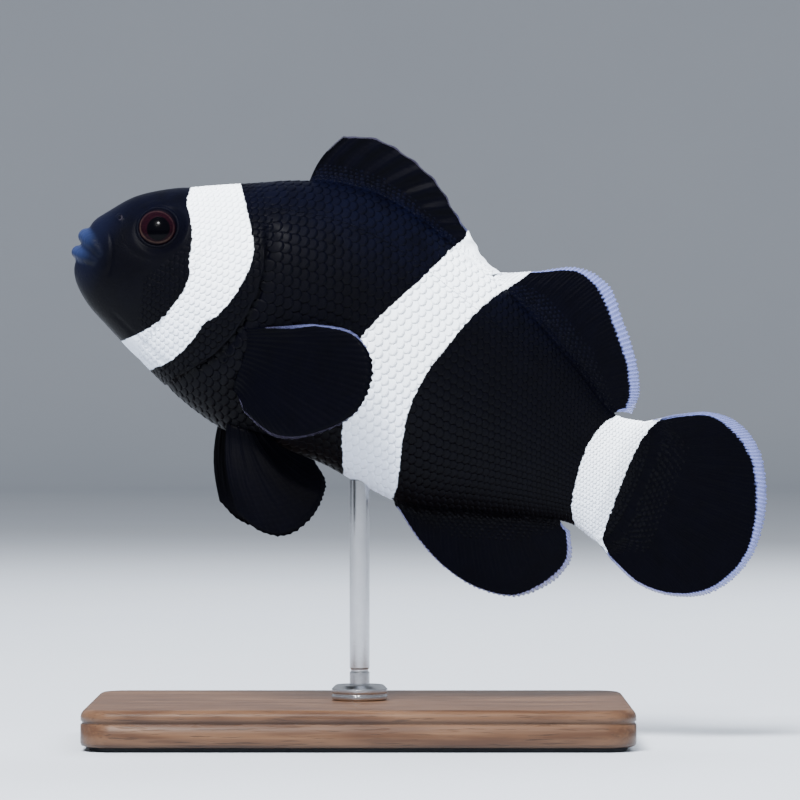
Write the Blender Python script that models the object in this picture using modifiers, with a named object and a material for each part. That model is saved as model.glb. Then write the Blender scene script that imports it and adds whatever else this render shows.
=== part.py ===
"""Black ocellaris clownfish, life size, as a still museum model on a plain display stand.

The fish is shaped level in a frame of its own, in millimetres: X runs back from the tip of the snout, Y to the
fish's right and Z up. One empty pitches it nose up over the stand, and a second one centres the whole display.
"""

import math

import bmesh
import bpy
from mathutils import Matrix, Vector

MM = 0.001

# The pose and the stand, which every place below follows.
NOSE_UP = math.radians(22.5)
LOWEST_FIN_ABOVE_FLOOR = 17.5
GAP = 0.3  # between solids that touch

BASE_SIZE = (66.0, 42.0, 5.0)
BASE_CORNER = 4.0
BASE_EDGE = 0.8
ROD_RADIUS = 1.25
ROD_MEETS_BELLY = (43.0, -13.0)  # behind the snout and up, between the pelvic and the anal fins
ROD_INTO_BODY = 4.0
COLLAR_RADIUS = 3.4
COLLAR_HEIGHT = 1.6

# Rings of the body: distance behind the snout, height of the back, height of the belly, half width,
# height of the widest line, and how sharply the back and belly close (1 is an ellipse).
BODY_RINGS = (
    (0.55, 2.2, -0.6, 0.9, 0.9, 1.00),
    (0.85, 4.2, -2.3, 2.0, 1.1, 1.00),
    (2.0, 6.7, -3.95, 3.0, 1.2, 0.98),
    (4.2, 9.1, -5.65, 4.1, 1.3, 0.95),
    (7.2, 10.95, -7.1, 5.1, 1.5, 0.92),
    (11.2, 13.1, -8.9, 6.1, 1.9, 0.94),
    (16.2, 15.6, -11.0, 7.1, 2.4, 0.98),
    (22.0, 18.35, -12.8, 7.8, 2.8, 1.03),
    (27.0, 20.0, -13.5, 7.9, 2.8, 1.08),
    (32.0, 20.5, -13.3, 7.7, 2.4, 1.12),
    (37.0, 19.8, -12.6, 7.2, 1.9, 1.13),
    (43.0, 18.2, -13.1, 6.3, 1.3, 1.12),
    (50.0, 16.0, -13.35, 5.1, 0.6, 1.08),
    (57.0, 12.9, -11.2, 3.9, 0.1, 1.03),
    (63.0, 9.8, -9.2, 2.9, -0.2, 1.00),
    (68.5, 6.8, -7.75, 2.2, -0.4, 1.00),
    (73.0, 7.3, -8.6, 1.5, -0.5, 0.95),
    (75.5, 5.6, -6.6, 0.7, -0.5, 0.90),
)
BODY_RING_COUNT = 42
BODY_SIDES = 28

# Side outlines where the body is parted, as distance behind the snout and height.
GILL_LINE = ((16.2, 24.0), (17.8, 17.5), (21.0, 10.5), (22.6, 5.0), (22.4, 0.0), (20.8, -5.0), (17.6, -9.5), (13.5, -15.0))
STALK_LINE = ((65.6, 14.0), (66.6, 6.0), (66.9, 0.0), (66.5, -6.0), (65.4, -14.0))
GILL_COVER = (
    (15.6, 8.9), (14.6, 4.5), (14.2, 0.0), (13.2, -4.0), (12.2, -7.2), (14.4, -8.9),
    (17.1, -8.0), (19.9, -4.4), (21.3, 0.0), (21.5, 4.6), (20.2, 8.6), (18.0, 10.0),
)  # fmt: skip
GILL_COVER_INNER = 4.6  # how far out from the middle of the head the cover's inner face lies

EYE_BEHIND_SNOUT = 8.7
EYE_HEIGHT = 6.2
EYE_RADIUS = 2.5
EYE_DEPTH = 1.85
EYE_OUT = 3.7  # from the middle of the head to the centre of the eye
EYE_TURN = (0.20, 1.0, 0.24)  # forward, outward and upward share of the way the eye looks

# Lips: points of the left half, from the middle of the mouth to its corner, with the lip's radius there.
LIP_UPPER = ((0.65, 0.0, 2.05, 1.0), (1.05, 1.3, 1.95, 0.92), (2.0, 2.45, 1.5, 0.75), (3.2, 3.2, 0.75, 0.42))
LIP_LOWER = ((0.5, 0.0, -0.1, 0.85), (0.9, 1.2, -0.15, 0.8), (1.8, 2.3, -0.3, 0.65), (2.9, 3.05, -0.35, 0.38))
LIP_STEPS = 12

# Fins: guide rays from front to back or top to bottom, each a root inside the body and a tip on the margin.
# Median fins give distance behind the snout and height; paired fins add the distance out from the middle.
SPINY_DORSAL = (
    ((23.3, 17.6), (25.0, 25.4)),
    ((26.0, 18.6), (28.8, 26.7)),
    ((29.5, 19.1), (33.2, 26.2)),
    ((33.0, 19.1), (37.7, 24.6)),
    ((36.8, 18.3), (41.2, 22.1)),
    ((40.6, 17.2), (44.2, 20.1)),
    ((44.2, 16.2), (46.6, 18.3)),
    ((47.2, 15.5), (48.4, 17.5)),
)
SOFT_DORSAL = (
    ((48.3, 15.0), (49.4, 17.4)),
    ((51.0, 14.0), (53.4, 19.4)),
    ((54.0, 12.7), (57.6, 21.6)),
    ((57.0, 11.3), (61.8, 21.1)),
    ((60.0, 9.8), (65.3, 17.6)),
    ((63.0, 8.2), (68.6, 13.7)),
    ((65.6, 6.6), (70.4, 10.2)),
    ((67.4, 5.6), (70.5, 7.6)),
)
ANAL_FIN = (
    ((47.6, -11.6), (48.3, -13.9)),
    ((50.0, -11.0), (52.2, -16.6)),
    ((53.0, -10.2), (56.6, -18.6)),
    ((56.0, -9.4), (61.3, -19.4)),
    ((59.0, -8.6), (65.9, -18.6)),
    ((61.8, -7.8), (69.2, -15.6)),
    ((64.2, -7.0), (70.5, -11.9)),
    ((66.2, -6.4), (69.0, -8.6)),
)
TAIL_FIN = (
    ((71.0, 6.2), (75.2, 9.3)),
    ((71.9, 6.0), (79.2, 11.4)),
    ((73.0, 5.2), (83.3, 11.5)),
    ((74.0, 3.8), (87.1, 9.0)),
    ((74.6, 1.9), (89.8, 4.1)),
    ((74.8, -0.5), (90.8, -1.3)),
    ((74.5, -2.9), (90.0, -5.7)),
    ((73.9, -4.9), (87.4, -9.3)),
    ((72.9, -6.5), (83.4, -11.2)),
    ((71.8, -7.3), (79.0, -11.4)),
    ((70.9, -7.4), (75.0, -9.9)),
)
PECTORAL_FIN = (
    ((23.2, 6.9, -0.9), (30.6, 11.2, 3.0)),
    ((23.3, 6.8, -1.7), (35.2, 13.2, 3.8)),
    ((23.5, 6.7, -2.6), (38.8, 14.4, 1.3)),
    ((23.7, 6.5, -3.7), (39.9, 14.7, -2.6)),
    ((23.9, 6.2, -4.8), (38.8, 14.2, -6.4)),
    ((24.2, 5.9, -6.0), (35.2, 12.8, -9.8)),
    ((24.5, 5.4, -7.2), (31.0, 10.6, -11.4)),
    ((24.8, 4.7, -8.2), (26.9, 8.0, -10.3)),
)
PELVIC_FIN = (
    ((25.2, 1.8, -12.0), (31.0, 4.6, -22.3)),
    ((26.2, 2.1, -12.1), (34.2, 5.4, -23.3)),
    ((27.1, 2.3, -12.1), (37.4, 5.7, -22.1)),
    ((28.0, 2.5, -12.1), (39.3, 5.5, -19.0)),
    ((28.9, 2.5, -12.1), (39.6, 4.9, -16.2)),
    ((29.8, 2.5, -12.0), (39.1, 4.3, -14.2)),
    ((30.8, 2.4, -12.0), (37.4, 3.8, -13.1)),
)
RIGHT_PELVIC_FORWARD = math.radians(7.6)  # the right pelvic fin is swung a little further forward
RIGHT_PELVIC_HINGE = (25.2, -3.2)
RIGHT_PELVIC_SPREAD = 0.92  # and spread a little less
FIN_THICKNESS = 0.62
FIN_ROWS = 5
FIN_COLUMNS_PER_GUIDE = 3

# Colour, roughness and metallic value of each finish.
FINISHES = {
    "skin": ((0.012, 0.013, 0.024), 0.45, 0.0),
    "lip": ((0.060, 0.075, 0.150), 0.45, 0.0),
    "fin": ((0.010, 0.011, 0.020), 0.50, 0.0),
    "eye": ((0.070, 0.022, 0.016), 0.10, 0.0),
    "base_wood": ((0.110, 0.055, 0.030), 0.40, 0.0),
    "rod_steel": ((0.560, 0.570, 0.580), 0.28, 1.0),
}


def clear_scene():
    for obj in list(bpy.data.objects):
        bpy.data.objects.remove(obj)


def new_collection(name):
    collection = bpy.data.collections.new(name)
    bpy.context.scene.collection.children.link(collection)
    return collection


def finish(name):
    """The named finish as a material, made once."""
    material = bpy.data.materials.get(name)
    if material is None:
        colour, roughness, metallic = FINISHES[name]
        material = bpy.data.materials.new(name)
        material.use_nodes = True
        shader = material.node_tree.nodes["Principled BSDF"]
        shader.inputs["Base Color"].default_value = (*colour, 1.0)
        shader.inputs["Roughness"].default_value = roughness
        shader.inputs["Metallic"].default_value = metallic
    return material


def add(name, mesh, collection, parent, material=None, smooth=True):
    """A new object for the mesh, in its collection and under its empty."""
    obj = bpy.data.objects.new(name, mesh)
    collection.objects.link(obj)
    obj.parent = parent
    if material:
        mesh.materials.append(finish(material))
    if smooth and mesh.polygons:
        mesh.shade_smooth()
    return obj


def as_cutter(obj):
    obj.hide_render = True
    obj.display_type = "WIRE"
    return obj


def boolean(obj, operation, other):
    modifier = obj.modifiers.new(f"{operation.lower()}_{other.name}", "BOOLEAN")
    modifier.operation = operation
    modifier.solver = "EXACT"
    modifier.object = other


def spline(points, t):
    """The place at t, from 0 to 1, on the smooth curve through the points."""
    last = len(points) - 1
    place = min(max(t, 0.0), 1.0) * last
    i = min(int(place), last - 1)
    u = place - i
    a, b, c, d = (Vector(points[min(max(j, 0), last)]) for j in range(i - 1, i + 3))
    return 0.5 * (2 * b + (c - a) * u + (2 * a - 5 * b + 4 * c - d) * u**2 + (3 * b - a - 3 * c + d) * u**3)


def loop_spline(points, count):
    """Points along the closed smooth curve through the given ones."""
    around = (points[-1], *points, points[0], points[1])
    spans = len(points)
    inner = [(1 + spans * k / count) / (spans + 2) for k in range(count)]
    return [spline(around, t) for t in inner]


def body_mesh(name, grow=0.0):
    """The whole body without its fins: a sphere whose rings take the shape of BODY_RINGS."""
    bm = bmesh.new()
    bmesh.ops.create_uvsphere(bm, u_segments=BODY_SIDES, v_segments=BODY_RING_COUNT, radius=1.0)
    for vert in bm.verts:
        pole_to_pole = math.acos(max(-1.0, min(1.0, vert.co.z))) / math.pi
        behind, top, bottom, half_width, widest, sharp = spline(BODY_RINGS, pole_to_pole)
        at_end = abs(pole_to_pole - 0.5) > 0.4999
        if at_end:
            outward = grow if pole_to_pole > 0.5 else -grow
            vert.co = Vector((behind + outward, 0.0, (top + bottom) / 2)) * MM
            continue
        angle = math.atan2(vert.co.y, vert.co.x)
        up, side = math.sin(angle), math.cos(angle)
        reach = (top - widest if up > 0 else widest - bottom) + grow
        y = math.copysign((half_width + grow) * abs(side) ** sharp, side)
        vert.co = Vector((behind, y, widest + reach * up)) * MM
    bm.normal_update()
    bmesh.ops.recalc_face_normals(bm, faces=bm.faces)
    mesh = bpy.data.meshes.new(name)
    bm.to_mesh(mesh)
    bm.free()
    return mesh


def side_prism(name, outline, low_y, high_y, cutters, parent):
    """A cutter: a side outline, drawn in the fish's middle plane, carried from low_y to high_y across it."""
    curve = bpy.data.curves.new(name, "CURVE")
    curve.dimensions = "2D"
    curve.fill_mode = "BOTH"
    curve.extrude = (high_y - low_y) / 2 * MM
    line = curve.splines.new("POLY")
    line.points.add(len(outline) - 1)
    for point, (behind, height) in zip(line.points, outline):
        point.co = (behind * MM, height * MM, 0.0, 1.0)
    line.use_cyclic_u = True
    drawn = bpy.data.objects.new(name + "_outline", curve)
    cutters.objects.link(drawn)
    mesh = bpy.data.meshes.new_from_object(drawn.evaluated_get(bpy.context.evaluated_depsgraph_get()))
    bpy.data.objects.remove(drawn)
    bm = bmesh.new()
    bm.from_mesh(mesh)
    bmesh.ops.remove_doubles(bm, verts=bm.verts, dist=0.001 * MM)
    upright = Matrix.Translation((0.0, (low_y + high_y) / 2 * MM, 0.0)) @ Matrix.Rotation(math.pi / 2, 4, "X")
    bm.transform(upright)
    bm.normal_update()
    bmesh.ops.recalc_face_normals(bm, faces=bm.faces)
    bm.to_mesh(mesh)
    bm.free()
    return as_cutter(add(name, mesh, cutters, parent, smooth=False))


def line_outline(line, shift, far):
    """The region on one side of a parting line: the line moved back by shift, closed at the distance far."""
    steps = 20
    edge = [spline(line, k / steps) + Vector((shift, 0.0)) for k in range(steps + 1)]
    return [tuple(p) for p in edge] + [(far, edge[-1].y), (far, edge[0].y)]


def grown_outline(outline, by):
    """A closed outline moved outwards from its own middle by about the given distance."""
    middle = sum((Vector(p) for p in outline), Vector((0.0, 0.0))) / len(outline)
    return [tuple(p + (p - middle).normalized() * by) for p in map(Vector, outline)]


def add_trunk_and_stalk(parts, cutters, pose):
    too_wide = 20.0
    head_room = side_prism(
        "cut_head_room", line_outline(GILL_LINE, GAP / 2, -20.0), -too_wide, too_wide, cutters, pose
    )
    stalk_room = side_prism(
        "cut_stalk_room", line_outline(STALK_LINE, -GAP / 2, 100.0), -too_wide, too_wide, cutters, pose
    )
    stalk_only = side_prism(
        "cut_stalk_only", line_outline(STALK_LINE, GAP / 2, 100.0), -too_wide, too_wide, cutters, pose
    )
    trunk = add("trunk", body_mesh("trunk"), parts, pose, "skin")
    boolean(trunk, "DIFFERENCE", head_room)
    boolean(trunk, "DIFFERENCE", stalk_room)
    stalk = add("tail_stalk", body_mesh("tail_stalk"), parts, pose, "skin")
    boolean(stalk, "INTERSECT", stalk_only)


def eye_matrix(side):
    """Where an eye sits and how it is turned; side is -1 for the left eye and 1 for the right."""
    forward, out, up = EYE_TURN
    looks = Vector((-forward, side * out, up)).normalized()
    turned = looks.to_track_quat("Z", "Y").to_matrix().to_4x4()
    return Matrix.Translation(Vector((EYE_BEHIND_SNOUT, side * EYE_OUT, EYE_HEIGHT)) * MM) @ turned


def eye_mesh(name, grow=0.0):
    bm = bmesh.new()
    bmesh.ops.create_uvsphere(bm, u_segments=18, v_segments=8, radius=1.0)
    radius, depth = (EYE_RADIUS + grow) * MM, (EYE_DEPTH + grow) * MM
    bmesh.ops.scale(bm, verts=bm.verts, vec=(radius, radius, depth))
    mesh = bpy.data.meshes.new(name)
    bm.to_mesh(mesh)
    bm.free()
    return mesh


def add_head(parts, cutters, pose):
    """The head, parted from the trunk at the gills, with its eyes and gill covers let into it."""
    too_wide = 20.0
    head_only = side_prism(
        "cut_head_only", line_outline(GILL_LINE, -GAP / 2, -20.0), -too_wide, too_wide, cutters, pose
    )
    head = add("head", body_mesh("head"), parts, pose, "skin")
    boolean(head, "INTERSECT", head_only)
    cover = [tuple(p) for p in loop_spline(GILL_COVER, 26)]
    for side, name in ((-1, "left"), (1, "right")):
        eye = add(f"eye_{name}", eye_mesh(f"eye_{name}"), parts, pose, "eye")
        eye.matrix_basis = eye_matrix(side)
        socket = as_cutter(add(f"cut_socket_{name}", eye_mesh(f"cut_socket_{name}", GAP), cutters, pose))
        socket.matrix_basis = eye_matrix(side)
        boolean(head, "DIFFERENCE", socket)

        inner, outer = sorted((side * GILL_COVER_INNER, side * too_wide))
        plate = side_prism(f"cut_cover_{name}", cover, inner, outer, cutters, pose)
        inner, outer = sorted((side * (GILL_COVER_INNER - GAP), side * too_wide))
        pocket = side_prism(f"cut_pocket_{name}", grown_outline(cover, GAP), inner, outer, cutters, pose)
        boolean(head, "DIFFERENCE", pocket)
        gill_cover = add(f"gill_cover_{name}", body_mesh(f"gill_cover_{name}"), parts, pose, "skin")
        boolean(gill_cover, "INTERSECT", plate)


def add_lip(name, half, parts, pose, body_room, cutters):
    """One lip: a bent tube that is thickest in the middle of the mouth and thins to its corners."""
    curve = bpy.data.curves.new(name, "CURVE")
    curve.dimensions = "3D"
    curve.bevel_depth = 1.0 * MM
    curve.bevel_resolution = 3
    curve.use_fill_caps = True
    line = curve.splines.new("POLY")
    whole = [(x, -y, z, r) for x, y, z, r in reversed(half[1:])] + list(half)
    line.points.add(LIP_STEPS)
    for k, point in enumerate(line.points):
        x, y, z, radius = spline(whole, k / LIP_STEPS)
        point.co = (x * MM, y * MM, z * MM, 1.0)
        point.radius = radius
    drawn = bpy.data.objects.new(name + "_line", curve)
    cutters.objects.link(drawn)
    mesh = bpy.data.meshes.new_from_object(drawn.evaluated_get(bpy.context.evaluated_depsgraph_get()))
    bpy.data.objects.remove(drawn)
    bm = bmesh.new()
    bm.from_mesh(mesh)
    bmesh.ops.remove_doubles(bm, verts=bm.verts, dist=0.001 * MM)
    bmesh.ops.recalc_face_normals(bm, faces=bm.faces)
    bm.to_mesh(mesh)
    bm.free()
    lip = add(name, mesh, parts, pose, "lip")
    boolean(lip, "DIFFERENCE", body_room)
    return lip


def fin_mesh(name, guides, bow, sway):
    """A fin's middle sheet: a grid whose columns are rays between the guide rays.

    bow moves the middle of each ray, and sway waves the margin of a median fin from side to side.
    """
    columns = FIN_COLUMNS_PER_GUIDE * (len(guides) - 1)
    roots = [root for root, _ in guides]
    tips = [tip for _, tip in guides]
    bm = bmesh.new()
    bmesh.ops.create_grid(bm, x_segments=columns, y_segments=FIN_ROWS, size=0.5)
    for vert in bm.verts:
        across, along = vert.co.x + 0.5, vert.co.y + 0.5
        root, tip = spline(roots, across), spline(tips, across)
        place = root.lerp(tip, along)
        if len(place) == 2:
            place = Vector((place.x, 0.0, place.y))
        place += Vector(bow) * math.sin(math.pi * along)
        place.y += sway * math.sin(math.tau * across) * along**2
        vert.co = place * MM
    mesh = bpy.data.meshes.new(name)
    bm.to_mesh(mesh)
    bm.free()
    return mesh


def add_fin(name, guides, parts, pose, body_room, bow=(0.0, 0.0, 0.0), sway=0.0):
    fin = add(name, fin_mesh(name, guides, bow, sway), parts, pose, "fin")
    thicken = fin.modifiers.new("thickness", "SOLIDIFY")
    thicken.thickness = FIN_THICKNESS * MM
    thicken.offset = 0.0
    boolean(fin, "DIFFERENCE", body_room)
    return fin


def on_side(guides, side):
    """A paired fin's guide rays for the left side (-1) or the right side (1)."""
    return tuple(tuple((x, side * out, z) for x, out, z in ray) for ray in guides)


def swung(guides, angle, hinge, spread):
    """A paired fin's guide rays drawn in towards their roots and turned forward about a crosswise hinge."""
    turn = Matrix.Rotation(angle, 3, "Y")
    pivot = Vector((hinge[0], 0.0, hinge[1]))
    drawn_in = [(Vector(root), Vector(root).lerp(Vector(tip), spread)) for root, tip in guides]
    return tuple(tuple(tuple(turn @ (p - pivot) + pivot) for p in ray) for ray in drawn_in)


def add_fins(parts, pose, body_room):
    add_fin("dorsal_fin_spiny", SPINY_DORSAL, parts, pose, body_room, bow=(-0.7, 0.0, 0.15), sway=-0.35)
    add_fin("dorsal_fin_soft", SOFT_DORSAL, parts, pose, body_room, bow=(-0.25, 0.0, 0.45), sway=0.8)
    add_fin("anal_fin", ANAL_FIN, parts, pose, body_room, bow=(-0.25, 0.0, -0.4), sway=-0.7)
    add_fin("tail_fin", TAIL_FIN, parts, pose, body_room, sway=0.9)
    for side, name in ((-1, "left"), (1, "right")):
        add_fin(
            f"pectoral_fin_{name}", on_side(PECTORAL_FIN, side), parts, pose, body_room, bow=(0.0, side * 0.9, 0.0)
        )
        pelvic = on_side(PELVIC_FIN, side)
        if name == "right":
            pelvic = swung(pelvic, RIGHT_PELVIC_FORWARD, RIGHT_PELVIC_HINGE, RIGHT_PELVIC_SPREAD)
        add_fin(f"pelvic_fin_{name}", pelvic, parts, pose, body_room, bow=(-0.75, side * 0.3, -0.25))


def bevel(obj, width, segments):
    modifier = obj.modifiers.new("edge", "BEVEL")
    modifier.width = width * MM
    modifier.segments = segments
    modifier.limit_method = "ANGLE"
    modifier.harden_normals = False


def add_stand(parts, display, belly, body_room):
    """A flat base with rounded corners, one rod up to the belly, and the collar round the rod's foot."""
    length, width, thickness = BASE_SIZE
    bm = bmesh.new()
    bmesh.ops.create_cube(bm, size=1.0)
    bmesh.ops.scale(bm, verts=bm.verts, vec=(length * MM, width * MM, thickness * MM))
    upright = [e for e in bm.edges if abs(e.verts[0].co.z - e.verts[1].co.z) > thickness / 2 * MM]
    bmesh.ops.bevel(
        bm, geom=upright, offset=BASE_CORNER * MM, offset_type="OFFSET", segments=5, profile=0.5, affect="EDGES"
    )
    top = [e for e in bm.edges if all(v.co.z > 0 for v in e.verts) and e.calc_face_angle(0.0) > 0.8]
    bmesh.ops.bevel(bm, geom=top, offset=BASE_EDGE * MM, offset_type="OFFSET", segments=2, profile=0.5, affect="EDGES")
    mesh = bpy.data.meshes.new("stand_base")
    bm.to_mesh(mesh)
    bm.free()
    base = add("stand_base", mesh, parts, display, "base_wood", smooth=False)
    base.location = (belly.x, 0.0, thickness / 2 * MM)

    foot = (thickness + GAP) * MM
    rod_length = belly.z + ROD_INTO_BODY * MM - foot
    bm = bmesh.new()
    bmesh.ops.create_cone(
        bm, cap_ends=True, segments=24, radius1=ROD_RADIUS * MM, radius2=ROD_RADIUS * MM, depth=rod_length
    )
    mesh = bpy.data.meshes.new("stand_rod")
    bm.to_mesh(mesh)
    bm.free()
    rod = add("stand_rod", mesh, parts, display, "rod_steel", smooth=False)
    rod.location = (belly.x, 0.0, foot + rod_length / 2)
    boolean(rod, "DIFFERENCE", body_room)

    profile = (
        (ROD_RADIUS + GAP, COLLAR_HEIGHT),
        (COLLAR_RADIUS - 0.5, COLLAR_HEIGHT),
        (COLLAR_RADIUS, COLLAR_HEIGHT - 0.5),
        (COLLAR_RADIUS, 0.0),
        (ROD_RADIUS + GAP, 0.0),
    )
    bm = bmesh.new()
    ring = [bm.verts.new((r * MM, 0.0, z * MM)) for r, z in profile]
    for start, end in zip(ring, ring[1:] + ring[:1]):
        bm.edges.new((start, end))
    mesh = bpy.data.meshes.new("stand_collar")
    bm.to_mesh(mesh)
    bm.free()
    collar = add("stand_collar", mesh, parts, display, "rod_steel", smooth=False)
    turned = collar.modifiers.new("turned", "SCREW")
    turned.steps = turned.render_steps = 20
    turned.use_merge_vertices = True
    turned.merge_threshold = 0.00005
    collar.location = (belly.x, 0.0, foot)


def world_box(objects):
    """Lowest and highest corner of the objects as built."""
    graph = bpy.context.evaluated_depsgraph_get()
    built = [obj.evaluated_get(graph) for obj in objects]
    places = [obj.matrix_world @ vert.co for obj in built for vert in obj.data.vertices]
    return Vector(map(min, zip(*places))), Vector(map(max, zip(*places)))


def main():
    clear_scene()
    parts = new_collection("clownfish")
    cutters = new_collection("cutters")
    display = bpy.data.objects.new("display", None)
    pose = bpy.data.objects.new("fish_pose", None)
    for empty in (display, pose):
        parts.objects.link(empty)
    pose.parent = display
    pose.rotation_euler.y = NOSE_UP
    body_room = as_cutter(add("cut_body_room", body_mesh("cut_body_room", GAP), cutters, pose))

    add_trunk_and_stalk(parts, cutters, pose)
    add_head(parts, cutters, pose)
    for name, half in (("lip_upper", LIP_UPPER), ("lip_lower", LIP_LOWER)):
        add_lip(name, half, parts, pose, body_room, cutters)
    add_fins(parts, pose, body_room)

    bpy.context.view_layer.update()
    low, _ = world_box([obj for obj in parts.objects if obj.type == "MESH"])
    pose.location.z = LOWEST_FIN_ABOVE_FLOOR * MM - low.z

    bpy.context.view_layer.update()
    behind, height = ROD_MEETS_BELLY
    add_stand(parts, display, pose.matrix_world @ Vector((behind * MM, 0.0, height * MM)), body_room)

    bpy.context.view_layer.update()
    low, high = world_box([obj for obj in parts.objects if obj.type == "MESH"])
    display.location.x = -(low.x + high.x) / 2


main()
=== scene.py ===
"""Looks of the black clownfish display model: skin, scales, eyes, stand, studio and camera.

The fish is made level in a frame of its own, in millimetres: x runs back from the tip of the snout, y to
the fish's right and z up. One matrix then pitches it nose up over the stand.
"""

import math

import bpy
import numpy as np
from mathutils import Matrix, Vector


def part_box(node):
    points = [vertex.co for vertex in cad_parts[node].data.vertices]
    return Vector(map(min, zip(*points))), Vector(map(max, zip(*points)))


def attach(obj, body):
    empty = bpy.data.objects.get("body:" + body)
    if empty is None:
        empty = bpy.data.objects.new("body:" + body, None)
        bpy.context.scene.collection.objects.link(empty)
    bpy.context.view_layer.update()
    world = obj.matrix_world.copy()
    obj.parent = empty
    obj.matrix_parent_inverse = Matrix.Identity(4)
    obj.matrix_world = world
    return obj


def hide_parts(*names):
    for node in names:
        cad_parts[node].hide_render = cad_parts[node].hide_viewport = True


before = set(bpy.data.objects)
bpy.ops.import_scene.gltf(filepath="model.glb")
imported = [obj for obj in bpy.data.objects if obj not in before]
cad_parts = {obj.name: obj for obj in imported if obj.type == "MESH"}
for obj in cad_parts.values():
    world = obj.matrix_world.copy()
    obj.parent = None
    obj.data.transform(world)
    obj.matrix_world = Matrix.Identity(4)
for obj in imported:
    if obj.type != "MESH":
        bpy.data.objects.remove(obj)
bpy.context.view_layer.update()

bl_info = {
    "name": "Black Clownfish Display Model",
    "version": (1, 0, 0),
    "blender": (4, 5, 0),
    "location": "View3D > Sidebar > Clownfish",
    "description": "Skin, scales, eyes, stand and studio for the solids of a black clownfish model",
    "category": "Object",
}

MM = 0.001
NOSE_UP = math.radians(22.5)
SIDES = ((-1, "left"), (1, "right"))
FAR = 9.0  # stands for being nowhere near a nostril or a fin's border
NEARLY_ONE = 1.001  # keeps a place between the last two rows or columns of a table
SKIN_COLUMNS = 104  # steps of the skin's grid from back to belly
CAP_RINGS = 7  # rings that close the skin's two ends
TABLE_ROWS, TABLE_COLUMNS = 373, 161  # rows behind each other and columns from back to belly of BodyTable
# Points that are worked out along a side line, half a ring of the body, and the body's rings: for its table,
# for what lies outside it and for the spacing of the skin's rings.
LINE_POINTS, HALF_RING_POINTS = 200, 241
TABLE_POINTS, OUTSIDE_POINTS, SPACING_POINTS = 1600, 800, 4000

# Rings of the body: distance behind the snout, height of the back, height of the belly, half width,
# height of the widest line, and how sharply the back and belly close (1 is an ellipse).
BODY_RINGS = (
    (0.55, 2.2, -0.6, 0.9, 0.9, 1.00),
    (0.85, 4.2, -2.3, 2.0, 1.1, 1.00),
    (2.0, 6.0, -3.95, 3.0, 1.2, 0.98),
    (4.2, 8.75, -5.65, 4.1, 1.3, 0.95),
    (7.2, 10.95, -7.1, 5.1, 1.5, 0.92),
    (11.2, 13.1, -8.9, 6.1, 1.9, 0.94),
    (16.2, 15.6, -11.0, 7.1, 2.4, 0.98),
    (22.0, 18.35, -12.8, 7.8, 2.8, 1.03),
    (27.0, 20.0, -13.5, 7.9, 2.8, 1.08),
    (32.0, 20.5, -13.3, 7.7, 2.4, 1.12),
    (37.0, 19.8, -12.6, 7.2, 1.9, 1.13),
    (43.0, 18.2, -13.1, 6.3, 1.3, 1.12),
    (50.0, 16.0, -13.35, 5.1, 0.6, 1.08),
    (57.0, 12.9, -11.2, 3.9, 0.1, 1.03),
    (63.0, 9.8, -9.2, 2.9, -0.2, 1.00),
    (68.5, 6.8, -7.75, 2.2, -0.4, 1.00),
    (73.0, 7.3, -8.6, 1.5, -0.5, 0.95),
    (75.5, 5.6, -6.6, 0.7, -0.5, 0.90),
)
# The tail stalk thins out between the roots of the tail fin's rays: from and to where, and by how much.
TAIL_THINS, TAIL_THINNING = (70.5, 75.4), 0.80
BODY_END = 75.5  # distance behind the snout at which the body ends
BODY_SPAN = (0.9, 75.3)  # the part of the body that can carry scales

# Distance between the skin's rings, by distance behind the snout.
SKIN_SPACING = ((0.5, 4.5, 6, 12, 15, 24, 28, 76), (0.125, 0.14, 0.2, 0.2, 0.25, 0.25, 0.8, 0.8))

# Side outlines of the gill opening and of the gill cover's front edge, behind the snout and height.
GILL_LINE = (
    (16.2, 24.0), (17.8, 17.5), (21.0, 10.5), (22.6, 5.0), (22.4, 0.0), (20.8, -5.0), (17.6, -9.5),
    (13.5, -15.0),
)  # fmt: skip
COVER_FRONT = (
    (16.4, 10.4), (15.6, 8.9), (14.6, 4.5), (14.2, 0.0), (13.2, -4.0), (12.2, -7.2), (11.6, -9.0),
)  # fmt: skip

EYE_PLACE = (8.7, 3.7, 6.2)
EYE_RADIUS = 2.5
EYE_DEPTH = 1.85
EYE_TURN = (0.20, 1.0, 0.24)  # forward, outward and upward share of the way the eye looks
EYE_OPENING = 2.36  # radius of the hole in the skin round the eyeball
EYE_SOCKET = (2.62, 3.9)  # where the skin begins and ends to be drawn down to the eyeball

# Lips: points of the left half, from the middle of the mouth to its corner, with the lip's radius there.
LIP_UPPER = (
    (0.65, 0.0, 2.05, 1.0), (1.05, 1.3, 1.95, 0.92), (2.0, 2.45, 1.5, 0.75), (3.2, 3.2, 0.75, 0.42),
)  # fmt: skip
LIP_LOWER = (
    (0.5, 0.0, -0.1, 0.85), (0.9, 1.2, -0.15, 0.8), (1.8, 2.3, -0.3, 0.65), (2.9, 3.05, -0.35, 0.38),
)  # fmt: skip
LIP_REACH = 2.4  # how far out from the snout the search for the lips' surface starts
LIP_STEPS, LIP_STEP = 40, 0.85  # steps of that search, and the share of the gap that each takes
LIP_BLEND = 0.42  # how softly the lips run together and into the snout
FACE_END = 6.0  # the lips lie before this distance behind the snout
NOSTRIL = (3.75, 5.7)

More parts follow.
